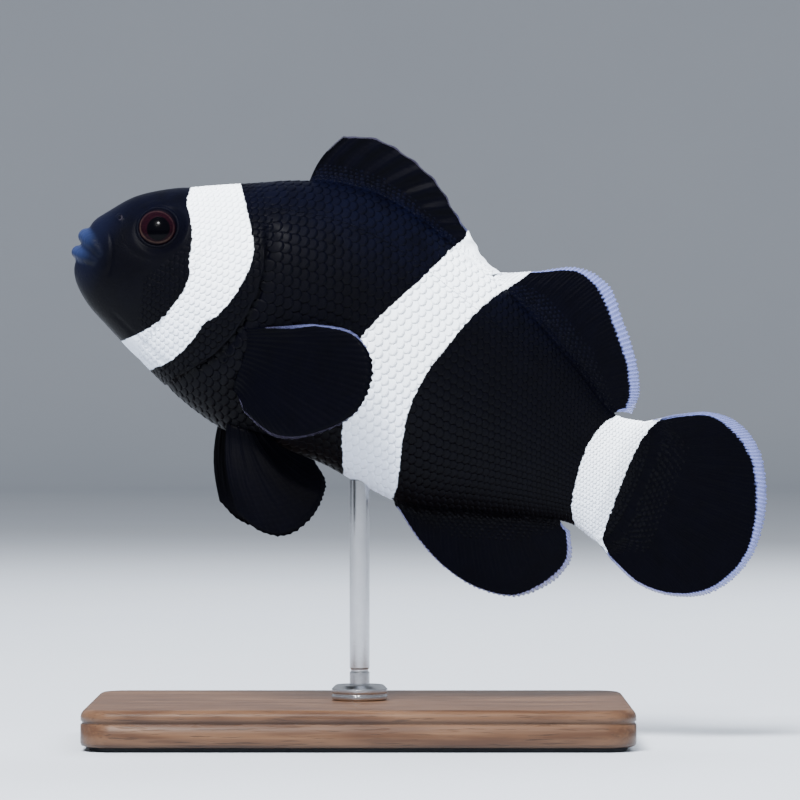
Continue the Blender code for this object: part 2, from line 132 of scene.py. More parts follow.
# Lines on the head as two rows. By height: where the scales begin, and the groove behind the upper jaw.
# By distance behind the snout: the cheek's lower edge, and the groove under the eye.
NAKED_FRONT = ((-12, -8, -4, 0, 3, 6, 9, 12, 16), (13.0, 11.0, 9.6, 8.6, 10.4, 11.9, 10.2, 9.4, 9.6))
JAW_GROOVE = ((-1.4, 0.0, 1.2, 2.4, 3.6), (5.25, 5.0, 4.65, 4.1, 3.3))
CHEEK_LOW_EDGE = ((6.0, 9.0, 12.0, 15.0, 18.0), (-4.9, -6.0, -7.2, -8.4, -8.8))
EYE_GROOVE = ((5.0, 7.0, 9.0, 11.5, 13.0), (3.2, 2.5, 2.3, 3.3, 4.6))

# Edges of the three white bars on the fish's side, as distance behind the snout and height, top to bottom.
HEAD_BAR_FRONT = (
    (9.9, 14.0), (10.2, 12.6), (10.5, 10.9), (11.8, 8.9), (13.1, 6.4), (13.8, 3.9), (14.5, 2.0),
    (14.5, 0.5), (13.9, -2.0), (13.0, -4.2), (11.5, -6.2), (9.6, -8.1), (8.6, -9.0),
)  # fmt: skip
HEAD_BAR_REAR = (
    (14.2, 17.0), (15.7, 15.1), (17.4, 12.9), (19.1, 10.4), (20.4, 8.2), (20.8, 5.9), (20.7, 4.2),
    (20.2, 1.5), (19.3, -0.8), (18.2, -2.5), (17.7, -4.5), (17.0, -6.5), (15.7, -8.5), (14.3, -9.9),
    (12.6, -11.4),
)  # fmt: skip
MIDDLE_BAR_FRONT = (
    (43.5, 20.6), (43.4, 19.6), (42.7, 18.2), (41.5, 15.4), (40.3, 12.4), (38.8, 9.4), (37.3, 5.9),
    (36.6, 3.9), (36.3, 0.5), (37.0, -3.3), (38.3, -7.0), (39.3, -9.5), (40.8, -12.8), (41.4, -14.2),
)  # fmt: skip
MIDDLE_BAR_REAR = (
    (52.7, 19.2), (51.1, 16.7), (48.9, 13.2), (47.5, 9.9), (46.3, 5.9), (45.3, 2.0), (45.1, -2.0),
    (45.8, -6.0), (46.8, -9.5), (47.4, -12.0), (47.4, -14.2),
)  # fmt: skip
TAIL_BAR_FRONT = (
    (69.6, 7.7), (69.0, 6.8), (67.7, 5.0), (66.9, 2.0), (67.0, -0.5), (67.4, -3.5), (68.1, -6.0),
    (69.3, -7.7), (70.2, -8.7),
)  # fmt: skip
TAIL_BAR_REAR = (
    (75.3, 9.8), (74.0, 8.3), (72.9, 5.8), (72.5, 3.0), (72.5, 0.0), (72.6, -4.0), (72.9, -7.6),
    (73.8, -8.85), (74.8, -10.0),
)  # fmt: skip
WHITE_BARS = (
    (HEAD_BAR_FRONT, HEAD_BAR_REAR),
    (MIDDLE_BAR_FRONT, MIDDLE_BAR_REAR),
    (TAIL_BAR_FRONT, TAIL_BAR_REAR),
)

# Fins: guide rays from front to back or top to bottom, each a root inside the body and a tip on the margin.
# Median fins give distance behind the snout and height; paired fins add the distance out from the middle.
SPINY_DORSAL = (
    ((23.3, 17.6), (25.0, 25.4)),
    ((26.0, 18.6), (28.8, 26.7)),
    ((29.5, 19.1), (33.2, 26.2)),
    ((33.0, 19.1), (37.7, 24.6)),
    ((36.8, 18.3), (41.2, 22.1)),
    ((40.6, 17.2), (44.2, 20.1)),
    ((44.2, 16.2), (46.6, 18.2)),
    ((47.9, 15.2), (49.3, 17.3)),
)
SOFT_DORSAL = (
    ((48.3, 15.0), (49.4, 17.4)),
    ((51.0, 14.0), (53.4, 19.4)),
    ((54.0, 12.7), (57.6, 21.6)),
    ((57.0, 11.3), (61.8, 21.1)),
    ((60.0, 9.8), (65.3, 17.6)),
    ((63.0, 8.2), (68.6, 13.7)),
    ((65.6, 6.6), (70.4, 10.2)),
    ((67.4, 5.6), (70.5, 7.6)),
)
ANAL_FIN = (
    ((47.6, -11.6), (48.3, -13.9)),
    ((50.0, -11.0), (52.2, -16.6)),
    ((53.0, -10.2), (56.6, -18.6)),
    ((56.0, -9.4), (61.3, -19.4)),
    ((59.0, -8.6), (65.9, -18.6)),
    ((61.8, -7.8), (69.2, -15.6)),
    ((64.2, -7.0), (70.5, -11.9)),
    ((66.2, -6.4), (69.0, -8.6)),
)
TAIL_FIN = (
    ((71.0, 6.2), (75.2, 9.3)),
    ((71.9, 6.0), (79.2, 11.4)),
    ((73.0, 5.2), (83.3, 11.5)),
    ((74.0, 3.8), (87.1, 9.0)),
    ((74.6, 1.9), (89.8, 4.1)),
    ((74.8, -0.5), (90.8, -1.3)),
    ((74.5, -2.9), (90.0, -5.7)),
    ((73.9, -4.9), (87.4, -9.3)),
    ((72.9, -6.5), (83.4, -11.2)),
    ((71.8, -7.3), (79.0, -11.4)),
    ((70.9, -7.4), (75.0, -9.9)),
)
PECTORAL_FIN = (
    ((23.2, 6.9, -0.9), (30.7, 11.2, 2.7)),
    ((23.3, 6.8, -1.7), (35.4, 13.2, 3.6)),
    ((23.5, 6.7, -2.6), (38.9, 14.4, 1.3)),
    ((23.7, 6.5, -3.7), (39.9, 14.7, -2.6)),
    ((23.9, 6.2, -4.8), (38.8, 14.2, -6.4)),
    ((24.2, 5.9, -6.0), (35.1, 12.8, -10.1)),
    ((24.5, 5.4, -7.2), (31.3, 10.6, -11.6)),
    ((24.8, 4.7, -8.2), (26.9, 8.0, -10.3)),
)
PELVIC_FIN = (
    ((25.2, 1.8, -12.0), (30.8, 4.6, -22.0)),
    ((26.2, 2.1, -12.1), (34.2, 5.4, -22.95)),
    ((27.1, 2.3, -12.1), (37.4, 5.7, -22.1)),
    ((28.0, 2.5, -12.1), (39.3, 5.5, -19.0)),
    ((28.9, 2.5, -12.1), (39.6, 4.9, -16.2)),
    ((29.8, 2.5, -12.0), (39.1, 4.3, -14.2)),
    ((30.8, 2.4, -12.0), (36.9, 3.7, -12.5)),
)

# The right pelvic fin is the left one mirrored, drawn in towards its roots and turned about a hinge.
RIGHT_PELVIC_SPREAD, RIGHT_PELVIC_FORWARD = 0.92, math.radians(7.6)
RIGHT_PELVIC_HINGE = (25.2, 0.0, -3.2)

# Where the ridges of a ray lie across it and how wide they are, near its root, further out and at its end,
# by the number of ends it has.
RAY_FORKS = {
    1: (((0.5,), 0.10), ((0.5,), 0.10), ((0.5,), 0.10)),
    2: (((0.5,), 0.10), ((0.38, 0.62), 0.085), ((0.25, 0.75), 0.09)),
    4: (((0.5,), 0.10), ((0.3, 0.7), 0.085), ((0.125, 0.375, 0.625, 0.875), 0.065)),
}

# Half the fins' thickness at their margin; how far each face of a paired fin swells at its root, and how soon
# that fades.
MARGIN_HALF = 0.05
ROOT_SWELL, ROOT_REACH = 0.42, 0.75

TRUNK_PARTS = (("front", 0, 42), ("rear", 42, 99))  # the trunk's pieces of scales, from and to
# Where the columns of scales start and end, their distance as a share of the rows' distance, and how much
# longer and wider than its cell each scale is.
TRUNK_SPAN, TRUNK_SPACING, TRUNK_OVERLAP = (13.0, 74.2), 0.82, (1.95, 1.42)
HEAD_SPAN, HEAD_SPACING, HEAD_OVERLAP = (7.6, 24.0), 0.80, (1.9, 1.38)
HEAD_ROWS_SHARE = 1.25  # how many more rows the head has than the trunk
LATERAL_ROW, LATERAL_END = 5, 58  # the row of scales with the lateral line, and where the line ends
FOOT_SHARE = 0.34  # share of a fin's height that the scales on its foot may cover

# The pectoral fin's fleshy root and the part of it without scales: middles and half sizes of ovals, as
# distance behind the snout and height.
PECTORAL_FLESH = ((23.6, -4.5), (1.5, 4.6))
PECTORAL_BARE = ((24.6, -4.6), (0.7, 3.9))

# The unwrap on which the scales' OFBake map lays their patches: the length and half girth of the body that
# fill it, and the size of a scale's patch.
UNWRAP_LENGTH, UNWRAP_GIRTH = 80.0, 42.0
PATCH = 0.003

# Colours that are the same for every model, and the place that the lamps are aimed at, in metres.
PUPIL, EYE_EDGE = (0.0004, 0.0004, 0.0008, 1.0), (0.0012, 0.0009, 0.0020, 1.0)
FELT, FELT_FUZZ = (0.010, 0.011, 0.013, 1.0), (0.035, 0.037, 0.042, 1.0)
MODEL_MIDDLE = (0.0, 0.0, 0.045)

# The solids that the skin stands for.
FLESH = (
    "head", "gill_cover_left", "gill_cover_right", "trunk", "tail_stalk", "lip_upper", "lip_lower",
    "dorsal_fin_spiny", "dorsal_fin_soft", "anal_fin", "tail_fin", "pectoral_fin_left",
    "pectoral_fin_right", "pelvic_fin_left", "pelvic_fin_right",
)  # fmt: skip


# ---------------------------------------------------------------- curves and small helpers


def smooth_step(value, low, high):
    share = np.clip((value - low) / (high - low), 0.0, 1.0)
    return share * share * (3.0 - 2.0 * share)


def window(value, low, high, fall, end):
    """Rises from 0 to 1 between low and high, and falls back between fall and end."""
    return smooth_step(value, low, high) * (1 - smooth_step(value, fall, end))


def hump(value, middle, width):
    """A smooth hump 1 high."""
    return np.exp(-(((value - middle) / width) ** 2))


def along(points, t):
    """The places at t, from 0 to 1, on the smooth curve through the points."""
    points = np.asarray(points, float)
    last = len(points) - 1
    place = np.clip(np.asarray(t, float), 0.0, 1.0) * last
    i = np.minimum(place.astype(int), last - 1)
    u = (place - i)[..., None]
    a, b, c, d = (points[np.clip(i + k, 0, last)] for k in (-1, 0, 1, 2))
    return 0.5 * (2 * b + (c - a) * u + (2 * a - 5 * b + 4 * c - d) * u**2 + (3 * b - a - 3 * c + d) * u**3)


def line_at(line, z):
    """How far behind the snout a side line lies at each height."""
    drawn = along(line, np.linspace(0, 1, LINE_POINTS))
    order = np.argsort(drawn[:, 1])
    return np.interp(z, drawn[order, 1], drawn[order, 0])


def unit(vectors):
    return vectors / np.maximum(np.linalg.norm(vectors, axis=-1, keepdims=True), 1e-12)


def facing_right(normals, row, column):
    """Unit normals, turned to point to the fish's right at one place of their grid."""
    normals = unit(normals)
    return -normals if normals[row, column, 1] < 0 else normals


def sampled(values, i, j):
    """The values of a table between its rows and columns."""
    i0, j0 = i.astype(int), j.astype(int)
    u, v = i - i0, j - j0
    if values.ndim == 3:
        u, v = u[..., None], v[..., None]
    first = values[i0, j0] * (1 - v) + values[i0, j0 + 1] * v
    return first * (1 - u) + (values[i0 + 1, j0] * (1 - v) + values[i0 + 1, j0 + 1] * v) * u


def grid_faces(rows, columns, first=0, around=False, flip=False):
    """Quads of a grid of vertices in rows; around joins the last column to the first."""
    index = first + np.arange(rows * columns).reshape(rows, columns)
    right = np.roll(index, -1, axis=1) if around else index[:, 1:]
    left = index if around else index[:, :-1]
    quads = np.stack([left[:-1], right[:-1], right[1:], left[1:]], axis=-1).reshape(-1, 4)
    return quads[:, ::-1] if flip else quads


def grid_border(rows, columns):
    """The vertices round the edge of a grid, in order."""
    index = np.arange(rows * columns).reshape(rows, columns)
    return np.concatenate([index[0, :-1], index[:-1, -1], index[-1, :0:-1], index[:0:-1, 0]])


def closed_rings(rows, around):
    """Faces of a form made of rings, closed by a fan to one more vertex at each end."""
    ring, last = np.arange(around), (rows - 1) * around
    after = np.roll(ring, -1)
    low = np.stack([np.full(around, rows * around), after, ring], axis=1)
    high = np.stack([np.full(around, rows * around + 1), last + ring, last + after], axis=1)
    return [grid_faces(rows, around, around=True), np.concatenate([low, high])]


def merged(pieces):
    """One (vertices, faces by size, maps) from several."""
    verts, faces, maps, first = [], {}, {}, 0
    for piece_verts, piece_faces, piece_maps in pieces:
        verts.append(piece_verts)
        for face_set in piece_faces:
            faces.setdefault(face_set.shape[1], []).append(face_set + first)
        for name, values in piece_maps.items():
            maps.setdefault(name, []).append((first, values))
        first += len(piece_verts)
    joined = {}
    for name, parts in maps.items():
        joined[name] = np.zeros((first, 2))
        for start, values in parts:
            joined[name][start : start + len(values)] = values
    return np.concatenate(verts), [np.concatenate(sets) for sets in faces.values()], joined


def flat_map(u, v):
    """A map's two values for every vertex."""
    return np.stack(np.broadcast_arrays(u, v), axis=-1).reshape(-1, 2)


def new_piece(name, made, materials, matrix=None, face_materials=None, settled=False):
    """An object of (vertices in millimetres, face sets, maps); settled puts the matrix in its vertices."""
    verts, face_sets, maps = made
    if settled:
        verts = verts @ np.array(matrix)[:3, :3].T + np.array(matrix)[:3, 3] / MM
        matrix = None
    mesh = bpy.data.meshes.new(name)
    loops = np.concatenate([faces.ravel() for faces in face_sets]).astype(np.int32)
    sizes = np.concatenate([np.full(len(faces), faces.shape[1]) for faces in face_sets])
    starts = np.concatenate([[0], np.cumsum(sizes)[:-1]]).astype(np.int32)
    mesh.vertices.add(len(verts))
    mesh.vertices.foreach_set("co", (np.asarray(verts) * MM).astype(np.float32).ravel())
    mesh.loops.add(len(loops))
    mesh.loops.foreach_set("vertex_index", loops)
    mesh.polygons.add(len(sizes))
    mesh.polygons.foreach_set("loop_start", starts)
    for map_name, values in maps.items():
        layer = mesh.uv_layers.new(name=map_name, do_init=False)
        layer.data.foreach_set("uv", values[loops].astype(np.float32).ravel())
    for material in materials:
        mesh.materials.append(material)
    if face_materials is not None:
        mesh.polygons.foreach_set("material_index", face_materials.astype(np.int32))
    mesh.update(calc_edges=True)
    if mesh.validate(clean_customdata=False):
        print("mended", name)
    mesh.shade_smooth()
    obj = bpy.data.objects.new(name, mesh)
    bpy.context.scene.collection.objects.link(obj)
    if matrix is not None:
        obj.matrix_world = matrix
    return obj


def eye_frame(side):
    """Rows are the eye's two cross axes and the way it looks, in the fish's frame."""
    forward, out, up = EYE_TURN
    looks = Vector((-forward, side * out, up)).normalized()
    return np.array(looks.to_track_quat("Z", "Y").to_matrix()).T


def eye_centre(side):
    return np.array(EYE_PLACE) * (1, side, 1)


def fish_pose():
    """The matrix from the fish's own frame to the row frame, found from where the left eye's solid lies."""
    low, high = (Vector(corner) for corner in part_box("eye_left"))
    turn = Matrix.Rotation(NOSE_UP, 4, "Y")
    return Matrix.Translation((low + high) / 2 - turn @ Vector(eye_centre(-1) * MM)) @ turn


# ---------------------------------------------------------------- the body's surface


def tail_taper(behind):
    """The tail stalk thins out between the roots of the tail fin's rays."""
    return 1 - TAIL_THINNING * smooth_step(behind, *TAIL_THINS)


def section(t, share):
    """The right half of the body: rows for t, columns for the share of the way from back to belly."""
    rings = along(BODY_RINGS, t)
    behind, top, bottom, half, widest, sharp = (rings[:, k, None] for k in range(6))
    half = half * tail_taper(behind)

    def place(angle):
        up, side = np.sin(angle), np.abs(np.cos(angle))
        z = widest + np.where(up > 0, top - widest, widest - bottom) * up
        y = half * side**sharp
        return np.stack(np.broadcast_arrays(behind, y, z), axis=-1)

    fine = np.linspace(math.pi / 2, -math.pi / 2, HALF_RING_POINTS)
    outline = place(fine[None, :])
    steps = np.linalg.norm(np.diff(outline, axis=1), axis=2)
    length = np.concatenate([np.zeros((len(t), 1)), np.cumsum(steps, axis=1)], axis=1)
    angles = np.array([np.interp(share * row[-1], row, fine) for row in length])
    return place(angles), length[:, -1]


class BodyTable:
    """The body's right half sampled evenly behind the snout, so that scales can be laid on it."""

    def __init__(self):
        fine = np.linspace(0, 1, TABLE_POINTS)
        behind = along(BODY_RINGS, fine)[:, 0]
        self.behind = np.linspace(*BODY_SPAN, TABLE_ROWS)
        self.share = np.linspace(0, 1, TABLE_COLUMNS)
        self.place, self.girth = section(np.interp(self.behind, behind, fine), self.share)
        run = np.gradient(self.place, self.behind, axis=0)
        down = np.gradient(self.place, self.share, axis=1)
        self.out = facing_right(np.cross(down, run), TABLE_ROWS // 2, TABLE_COLUMNS // 2)

    def row(self, behind, margin=1.0):
        """The row of the table at a distance behind the snout, between rows too."""
        row = (behind - self.behind[0]) / (self.behind[1] - self.behind[0])
        return np.clip(row, 0, len(self.behind) - margin)

    def at(self, behind, around):
        """Place and outward direction; around runs from -1, left belly, over 0, back, to 1, right belly."""
        side = np.sign(around) + (around == 0)
        share = np.abs(around)
        side = np.where(share > 1, -side, side)
        share = np.where(share > 1, 2 - share, share)
        i = self.row(behind, NEARLY_ONE)
        j = np.clip(share * (len(self.share) - 1), 0, len(self.share) - NEARLY_ONE)
        place, out = sampled(self.place, i, j), sampled(self.out, i, j)
        place[..., 1] *= side
        out[..., 1] *= side
        return place, unit(out)

    def half_girth(self, behind):
        return np.interp(behind, self.behind, self.girth)

    def spread(self, behind, around, back, side):
        """Place and outward direction at offsets in millimetres, back and round the body, from roots."""
        around = around[:, None] + side / self.half_girth(behind)[:, None]
        place, out = self.at(behind[:, None] + back, around)
        return place + out * relief(place)[..., None], out

    def unwrap(self, behind, around, long):
        """Where roots lie on an unwrap of the body, opened along the belly."""
        root = behind - long / 2
        across = around * self.half_girth(root) / UNWRAP_GIRTH
        return 0.03 + 0.94 * root / UNWRAP_LENGTH, 0.60 + 0.36 * across


class FinTable:
    """A fin's two faces, so that scales can be laid on its foot.

    A scale's around is 1 plus its share of the way across the fin, and below 0 on the fin's left face.
    """

    def __init__(self, sheet, order):
        self.sheet, self.order = sheet, order

    def at(self, t, across, name):
        values = self.sheet[name]
        rows, columns = values.shape[:2]
        i = np.clip(np.interp(t, self.sheet["drawn"], np.arange(rows)), 0, rows - NEARLY_ONE)
        return sampled(values, i, np.clip(across * (columns - 1), 0, columns - NEARLY_ONE))

    def spread(self, t, around, back, side):
        face, across = np.sign(around)[:, None], np.abs(around) - 1
        wide = self.at(t, across, "wide")
        t_there = t[:, None] + back / self.at(t, across, "long")[:, None]
        across_there = np.clip(across[:, None] + side / wide[:, None], 0.002, 0.998)
        out = unit(self.at(t_there, across_there, "out")) * face[..., None]
        half = self.at(t_there, across_there, "half")[..., None]
        return self.at(t_there, across_there, "place") + out * half, out

    def unwrap(self, t, around, long):
        """Each face of each fin has a strip of its own below the body's unwrap."""
        strip = 2 * self.order + (around > 0)
        return 0.03 + 0.94 * (np.abs(around) - 1), 0.02 + 0.025 * strip + 0.02 * t

    def roots(self, rows, size, spacing=0.62):
        """Roots of the scales on both faces, in rows that follow the body: t, around, length and width."""
        clear, drawn = self.sheet["clear"], self.sheet["drawn"]
        last = clear.shape[1] - 1
        middle = clear.shape[0] // 3
        run = np.linalg.norm(np.diff(self.sheet["place"][middle], axis=0), axis=1)
        count = int(run.sum() / spacing)
        found = []
        for row in range(rows):
            across = (np.arange(count) + (0.25 if row % 2 else 0.75)) / count
            column = np.clip(np.round(across * last).astype(int), 0, last)
            high = row * size * 0.5 - 0.5
            t = np.array([np.interp(high, np.maximum.accumulate(clear[:, c]), drawn) for c in column])
            reach = clear[-1, column] * FOOT_SHARE
            keep = (high < reach) & (across > 0.02) & (across < 0.98)
            shrink = 1 - 0.45 * np.clip(high / np.maximum(reach, 0.5), 0, 1)
            for face in (-1, 1):
                root = (t, face * (1 + across), size * shrink, spacing * 1.5 * shrink)
                found.append(np.stack(root, axis=1)[keep])
        return np.concatenate(found).T


def outside(place):
    """How far each place lies outside the body, below 0 inside it, and half the body's thickness there."""
    rings = along(BODY_RINGS, np.linspace(0, 1, OUTSIDE_POINTS))
    columns = (np.interp(place[..., 0], rings[:, 0], rings[:, k]) for k in range(1, 6))
    top, bottom, half, widest, sharp = columns
    z = place[..., 2] - widest
    half = half * tail_taper(place[..., 0])
    reach = np.where(z > 0, top - widest, widest - bottom)
    size = np.sqrt((np.abs(place[..., 1]) / half) ** (2 / sharp) + (z / reach) ** 2)
    radius = np.sqrt(place[..., 1] ** 2 + z**2) / np.maximum(size, 1e-6)
    beyond = np.maximum(place[..., 0] - BODY_END, 0)
    thick = half * np.maximum(1 - (z / reach) ** 2, 0) ** (sharp / 2) * (beyond == 0)
    return np.maximum((size - 1) * radius, beyond), thick


def gill_gap(place):
    """How far each place lies behind the gill opening."""
    return place[..., 0] - line_at(GILL_LINE, place[..., 2])


def from_eye(place):
    """Distance of each place from the axis of the eye on its side, and its place along that axis."""
    local = (place * np.where(place[..., 1:2] < 0, (1, -1, 1), 1) - eye_centre(1)) @ eye_frame(1).T
    return np.hypot(local[..., 0], local[..., 1]), local[..., 2]


def oval(place, middle, half):
    """Distance of each place from the middle of an oval on the side: 1 on its edge."""
    return np.hypot((place[..., 0] - middle[0]) / half[0], (place[..., 2] - middle[1]) / half[1])


def scaled_share(place):
    """1 where the body carries scales, 0 on the naked snout, lips, chin and round the eye."""
    x, z = place[..., 0], place[..., 2]
    front = np.interp(z, *NAKED_FRONT)
    eye, _ = from_eye(place)
    return smooth_step(x, front - 0.6, front + 1.2) * smooth_step(eye, 3.5, 4.3)


def relief(place):
    """Rise and fall of the body's surface, in millimetres: gill openings, cheek plates and creases."""
    x, y, z = place[..., 0], np.abs(place[..., 1]), place[..., 2]
    # the gill opening, behind the gill cover's slightly swollen edge
    gap = gill_gap(place)
    tall = window(z, -12.5, -9.5, 10.0, 13.0)
    rise = -0.46 * tall * smooth_step(gap, -0.10, 0.22) * np.exp(-np.maximum(gap, 0) / 1.5)
    rise += 0.10 * tall * (gap < 0.1) * np.exp(-np.abs(gap) / 1.2)
    # the cheek's plate against the gill cover, in the same way
    cheek = x - line_at(COVER_FRONT, z) - 0.05 * np.sin(z * 11.0)
    tall = window(z, -8.6, -7.0, 7.6, 9.6)
    rise -= 0.17 * tall * smooth_step(cheek, -0.12, 0.2) * np.exp(-np.maximum(cheek, 0) / 1.3)
    rise += 0.05 * tall * (cheek < 0.05) * np.exp(-np.abs(cheek) / 1.0)
    # lower edge of the cheek, and the folds of the throat under it
    rise -= 0.12 * hump(z, np.interp(x, *CHEEK_LOW_EDGE), 0.24) * window(x, 6.5, 8.5, 16, 18)
    throat = smooth_step(-z, 7.6, 8.6) * window(x, 8, 10, 15, 17) * (y < 4.2)
    rise -= 0.07 * throat * np.exp(-((((y * 1.1 + 0.15) % 1.0) - 0.5) ** 2) / 0.012)
    # the groove behind the upper jaw, and the one under the eye
    jaw = x - np.interp(z, *JAW_GROOVE)
    rise -= window(z, -1.6, -0.7, 2.6, 4.0) * (0.11 * hump(jaw, 0, 0.2) - 0.05 * hump(jaw, -0.6, 0.4))
    rise -= 0.045 * hump(z, np.interp(x, *EYE_GROOVE), 0.25) * window(x, 5.0, 6.5, 12, 13)
    rise += 0.16 * hump(x, 1.5, 0.7) * hump(z, 3.6, 0.8) * hump(y, 0, 1.3)
    return rise + 0.42 * (1 - smooth_step(oval(place, *PECTORAL_FLESH), 0.35, 1.15))


def eye_bulge(distance):
    """Height of the eyeball over its own middle plane, at a distance from its axis."""
    share = np.clip(distance / EYE_RADIUS, 0, 1)
    return EYE_DEPTH * (1 - share**2.4) ** (1 / 2.4)


def lip_gap(place, half):
    """Distance of each place from a lip's surface."""
    whole = [(x, -y, z, r) for x, y, z, r in reversed(half[1:])] + list(half)
    drawn = along(whole, np.linspace(0, 1, 49))
    nearest = np.full(len(place), 1e9)
    for a, b in zip(drawn[:-1], drawn[1:]):
        run = b[:3] - a[:3]
        h = np.clip(((place - a[:3]) @ run) / (run @ run), 0, 1)
        gap = np.linalg.norm(place - a[:3] - h[:, None] * run, axis=1) - (a[3] + h * (b[3] - a[3]))
        nearest = np.minimum(nearest, gap)
    return nearest


def soft_least(a, b, reach):
    share = np.clip(0.5 + 0.5 * (b - a) / reach, 0, 1)
    return b * (1 - share) + a * share - reach * share * (1 - share)


def with_lips(place, out):
    """Moves the snout's places outwards on to the lips; also gives how much of each place is lip."""

    def lips_at(spot):
        return np.minimum(*(lip_gap(spot, lip) for lip in (LIP_UPPER, LIP_LOWER)))

    height = np.full(len(place), LIP_REACH)
    for _ in range(LIP_STEPS):
        lips = lips_at(place + out * height[:, None])
        height = np.maximum(height - LIP_STEP * soft_least(height, lips, LIP_BLEND), 0.0)
    spot = place + out * height[:, None]
    return spot, 1 - smooth_step(lips_at(spot), 0.0, 0.55)


def ring_stations():
    """Values of t for the skin's rings, closest on the lips and widest on the trunk."""
    t = np.linspace(0, 1, SPACING_POINTS)
    rings = along(BODY_RINGS, t)
    path = np.stack([rings[:, 0], rings[:, 3], (rings[:, 1] - rings[:, 2]) / 2.6], axis=1)
    step = np.linalg.norm(np.diff(path, axis=0), axis=1)
    middle = (rings[1:, 0] + rings[:-1, 0]) / 2
    count = np.concatenate([[0], np.cumsum(step / np.interp(middle, *SKIN_SPACING))])
    return np.interp(np.linspace(0, count[-1], int(count[-1]) + 1), count, t)


def skin_grid():
    """The skin's rings, drawn together at snout and tail: grids of places and of outward directions."""
    right, _ = section(ring_stations(), np.linspace(0, 1, SKIN_COLUMNS + 1))
    place = np.concatenate([right, right[:, -2:0:-1] * (1, -1, 1)], axis=1)
    caps = []
    for ring in (place[0], place[-1]):
        middle = ring.mean(axis=0)
        caps.append([middle + (ring - middle) * k / CAP_RINGS for k in range(1, CAP_RINGS)])
    place = np.concatenate([caps[0], place, caps[1][::-1]])
    rows, around = place.shape[:2]
    run = np.gradient(place, axis=0)
    turn = np.roll(place, -1, axis=1) - np.roll(place, 1, axis=1)
    out = facing_right(np.cross(turn, run), rows // 2, around // 4)
    cap, turned_rings = CAP_RINGS - 1, slice(CAP_RINGS - 1, CAP_RINGS + 11)
    out[:cap], out[-cap:] = (-1, 0, 0), (1, 0, 0)
    blend = np.linspace(0, 1, 12)[:, None, None]
    out[turned_rings] = unit(out[turned_rings] * blend + np.array((-1.0, 0, 0)) * (1 - blend))
    return place, out


def draw_to_eyes(place):
    """Moves the skin's places round each eye down to the eyeball."""
    distance, depth = from_eye(place)
    tucked = eye_bulge(distance) - 0.5 * smooth_step(EYE_OPENING - distance, 0.0, 0.2)
    wanted = np.where(distance < EYE_OPENING, tucked, eye_bulge(EYE_OPENING) + 0.02)
    pull = 1 - smooth_step(distance, *EYE_SOCKET)
    for side, _ in SIDES:
        mine = (np.sign(place[:, 1]) == side) & (depth > -1.5)
        place[mine] += eye_frame(side)[2] * ((wanted - depth) * pull)[mine, None]


def body_skin(form):
    """The body from the lips to the root of the tail."""
    place, out = skin_grid()
    rows, around = place.shape[:2]
    place, out = place.reshape(-1, 3), out.reshape(-1, 3)
    rise = relief(place) - form.coat_depth / MM * scaled_share(place)
    place = place + out * rise[:, None]

    # nostrils: a raised rim round a small pit
    pit = np.hypot(place[:, 0] - NOSTRIL[0], place[:, 2] - NOSTRIL[1])
    pit = np.where(np.abs(place[:, 1]) > 1.2, pit, FAR)
    place = place + out * (0.13 * hump(pit, 0.32, 0.15) - 0.3 * hump(pit, 0, 0.18))[:, None]

    draw_to_eyes(place)

    # lips, with fine folds across them
    front = place[:, 0] < FACE_END
    lips = np.zeros(len(place))
    place[front], lips[front] = with_lips(place[front], out[front])
    fold = np.exp(-((np.sin(place[:, 1] * 3.3 + place[:, 2] * 0.6)) ** 2) / 0.12)
    place[front] -= (out * (0.05 * fold * lips)[:, None])[front]

    ends = [place[:around].mean(axis=0), place[-around:].mean(axis=0)]
    face_map = np.stack([np.append(lips, (1.0, 0.0)), np.append(pit, (FAR, FAR))], axis=1)
    return np.concatenate([place, ends]), closed_rings(rows, around), {"Face": face_map}


def eyelid(side, form, steps=72, sides=10):
    """A flat-sided ring of skin round the eye."""
    turn = np.linspace(0, math.tau, steps, endpoint=False)[:, None]
    roll = np.linspace(0, math.tau, sides, endpoint=False)
    reach = EYE_RADIUS + form.lid_width / MM * np.cos(roll)
    up = eye_bulge(EYE_OPENING) - 0.02 + form.lid_height / MM * np.sin(roll) + 0 * turn
    local = np.stack([np.cos(turn) * reach, np.sin(turn) * reach, up], axis=-1).reshape(-1, 3)
    first, last = np.arange(sides), np.arange(sides) + (steps - 1) * sides
    closing = np.stack([last, np.roll(last, -1), np.roll(first, -1), first], axis=-1)
    quads = np.concatenate([grid_faces(steps, sides, around=True), closing])
    return local @ eye_frame(side) + eye_centre(side), [quads[:, ::-1]], {}


def gill_edge(side, table):
    """The soft edge of the gill cover, a thin flap that stands just clear of the trunk."""
    z = np.linspace(9.6, -10.4, 90)[:, None]
    across = np.linspace(0, 1, 7)
    fade = window(z, -10.6, -8.0, 8.2, 9.8)
    behind = line_at(GILL_LINE, z) - 1.3 + across * (1.42 + 0.05 * np.sin(z * 2.1))
    place, out = table.at(behind, side * share_at(table, behind, np.broadcast_to(z, behind.shape)))
    lift = (-0.16 + 0.20 * across**1.5) * fade - 0.2 * (1 - fade)
    under = lift - 0.10 - 0.5 * (1 - across)
    return shell(place + out * lift[..., None], place + out * under[..., None], flip=side > 0)


def share_at(table, behind, height):
    """Share of the way from back to belly at which the body has each height."""
    rows = table.place[np.round(table.row(behind)).astype(int), :, 2].reshape(height.size, -1)
    found = [np.interp(-level, -row, table.share) for level, row in zip(height.reshape(-1), rows)]
    return np.array(found).reshape(behind.shape)


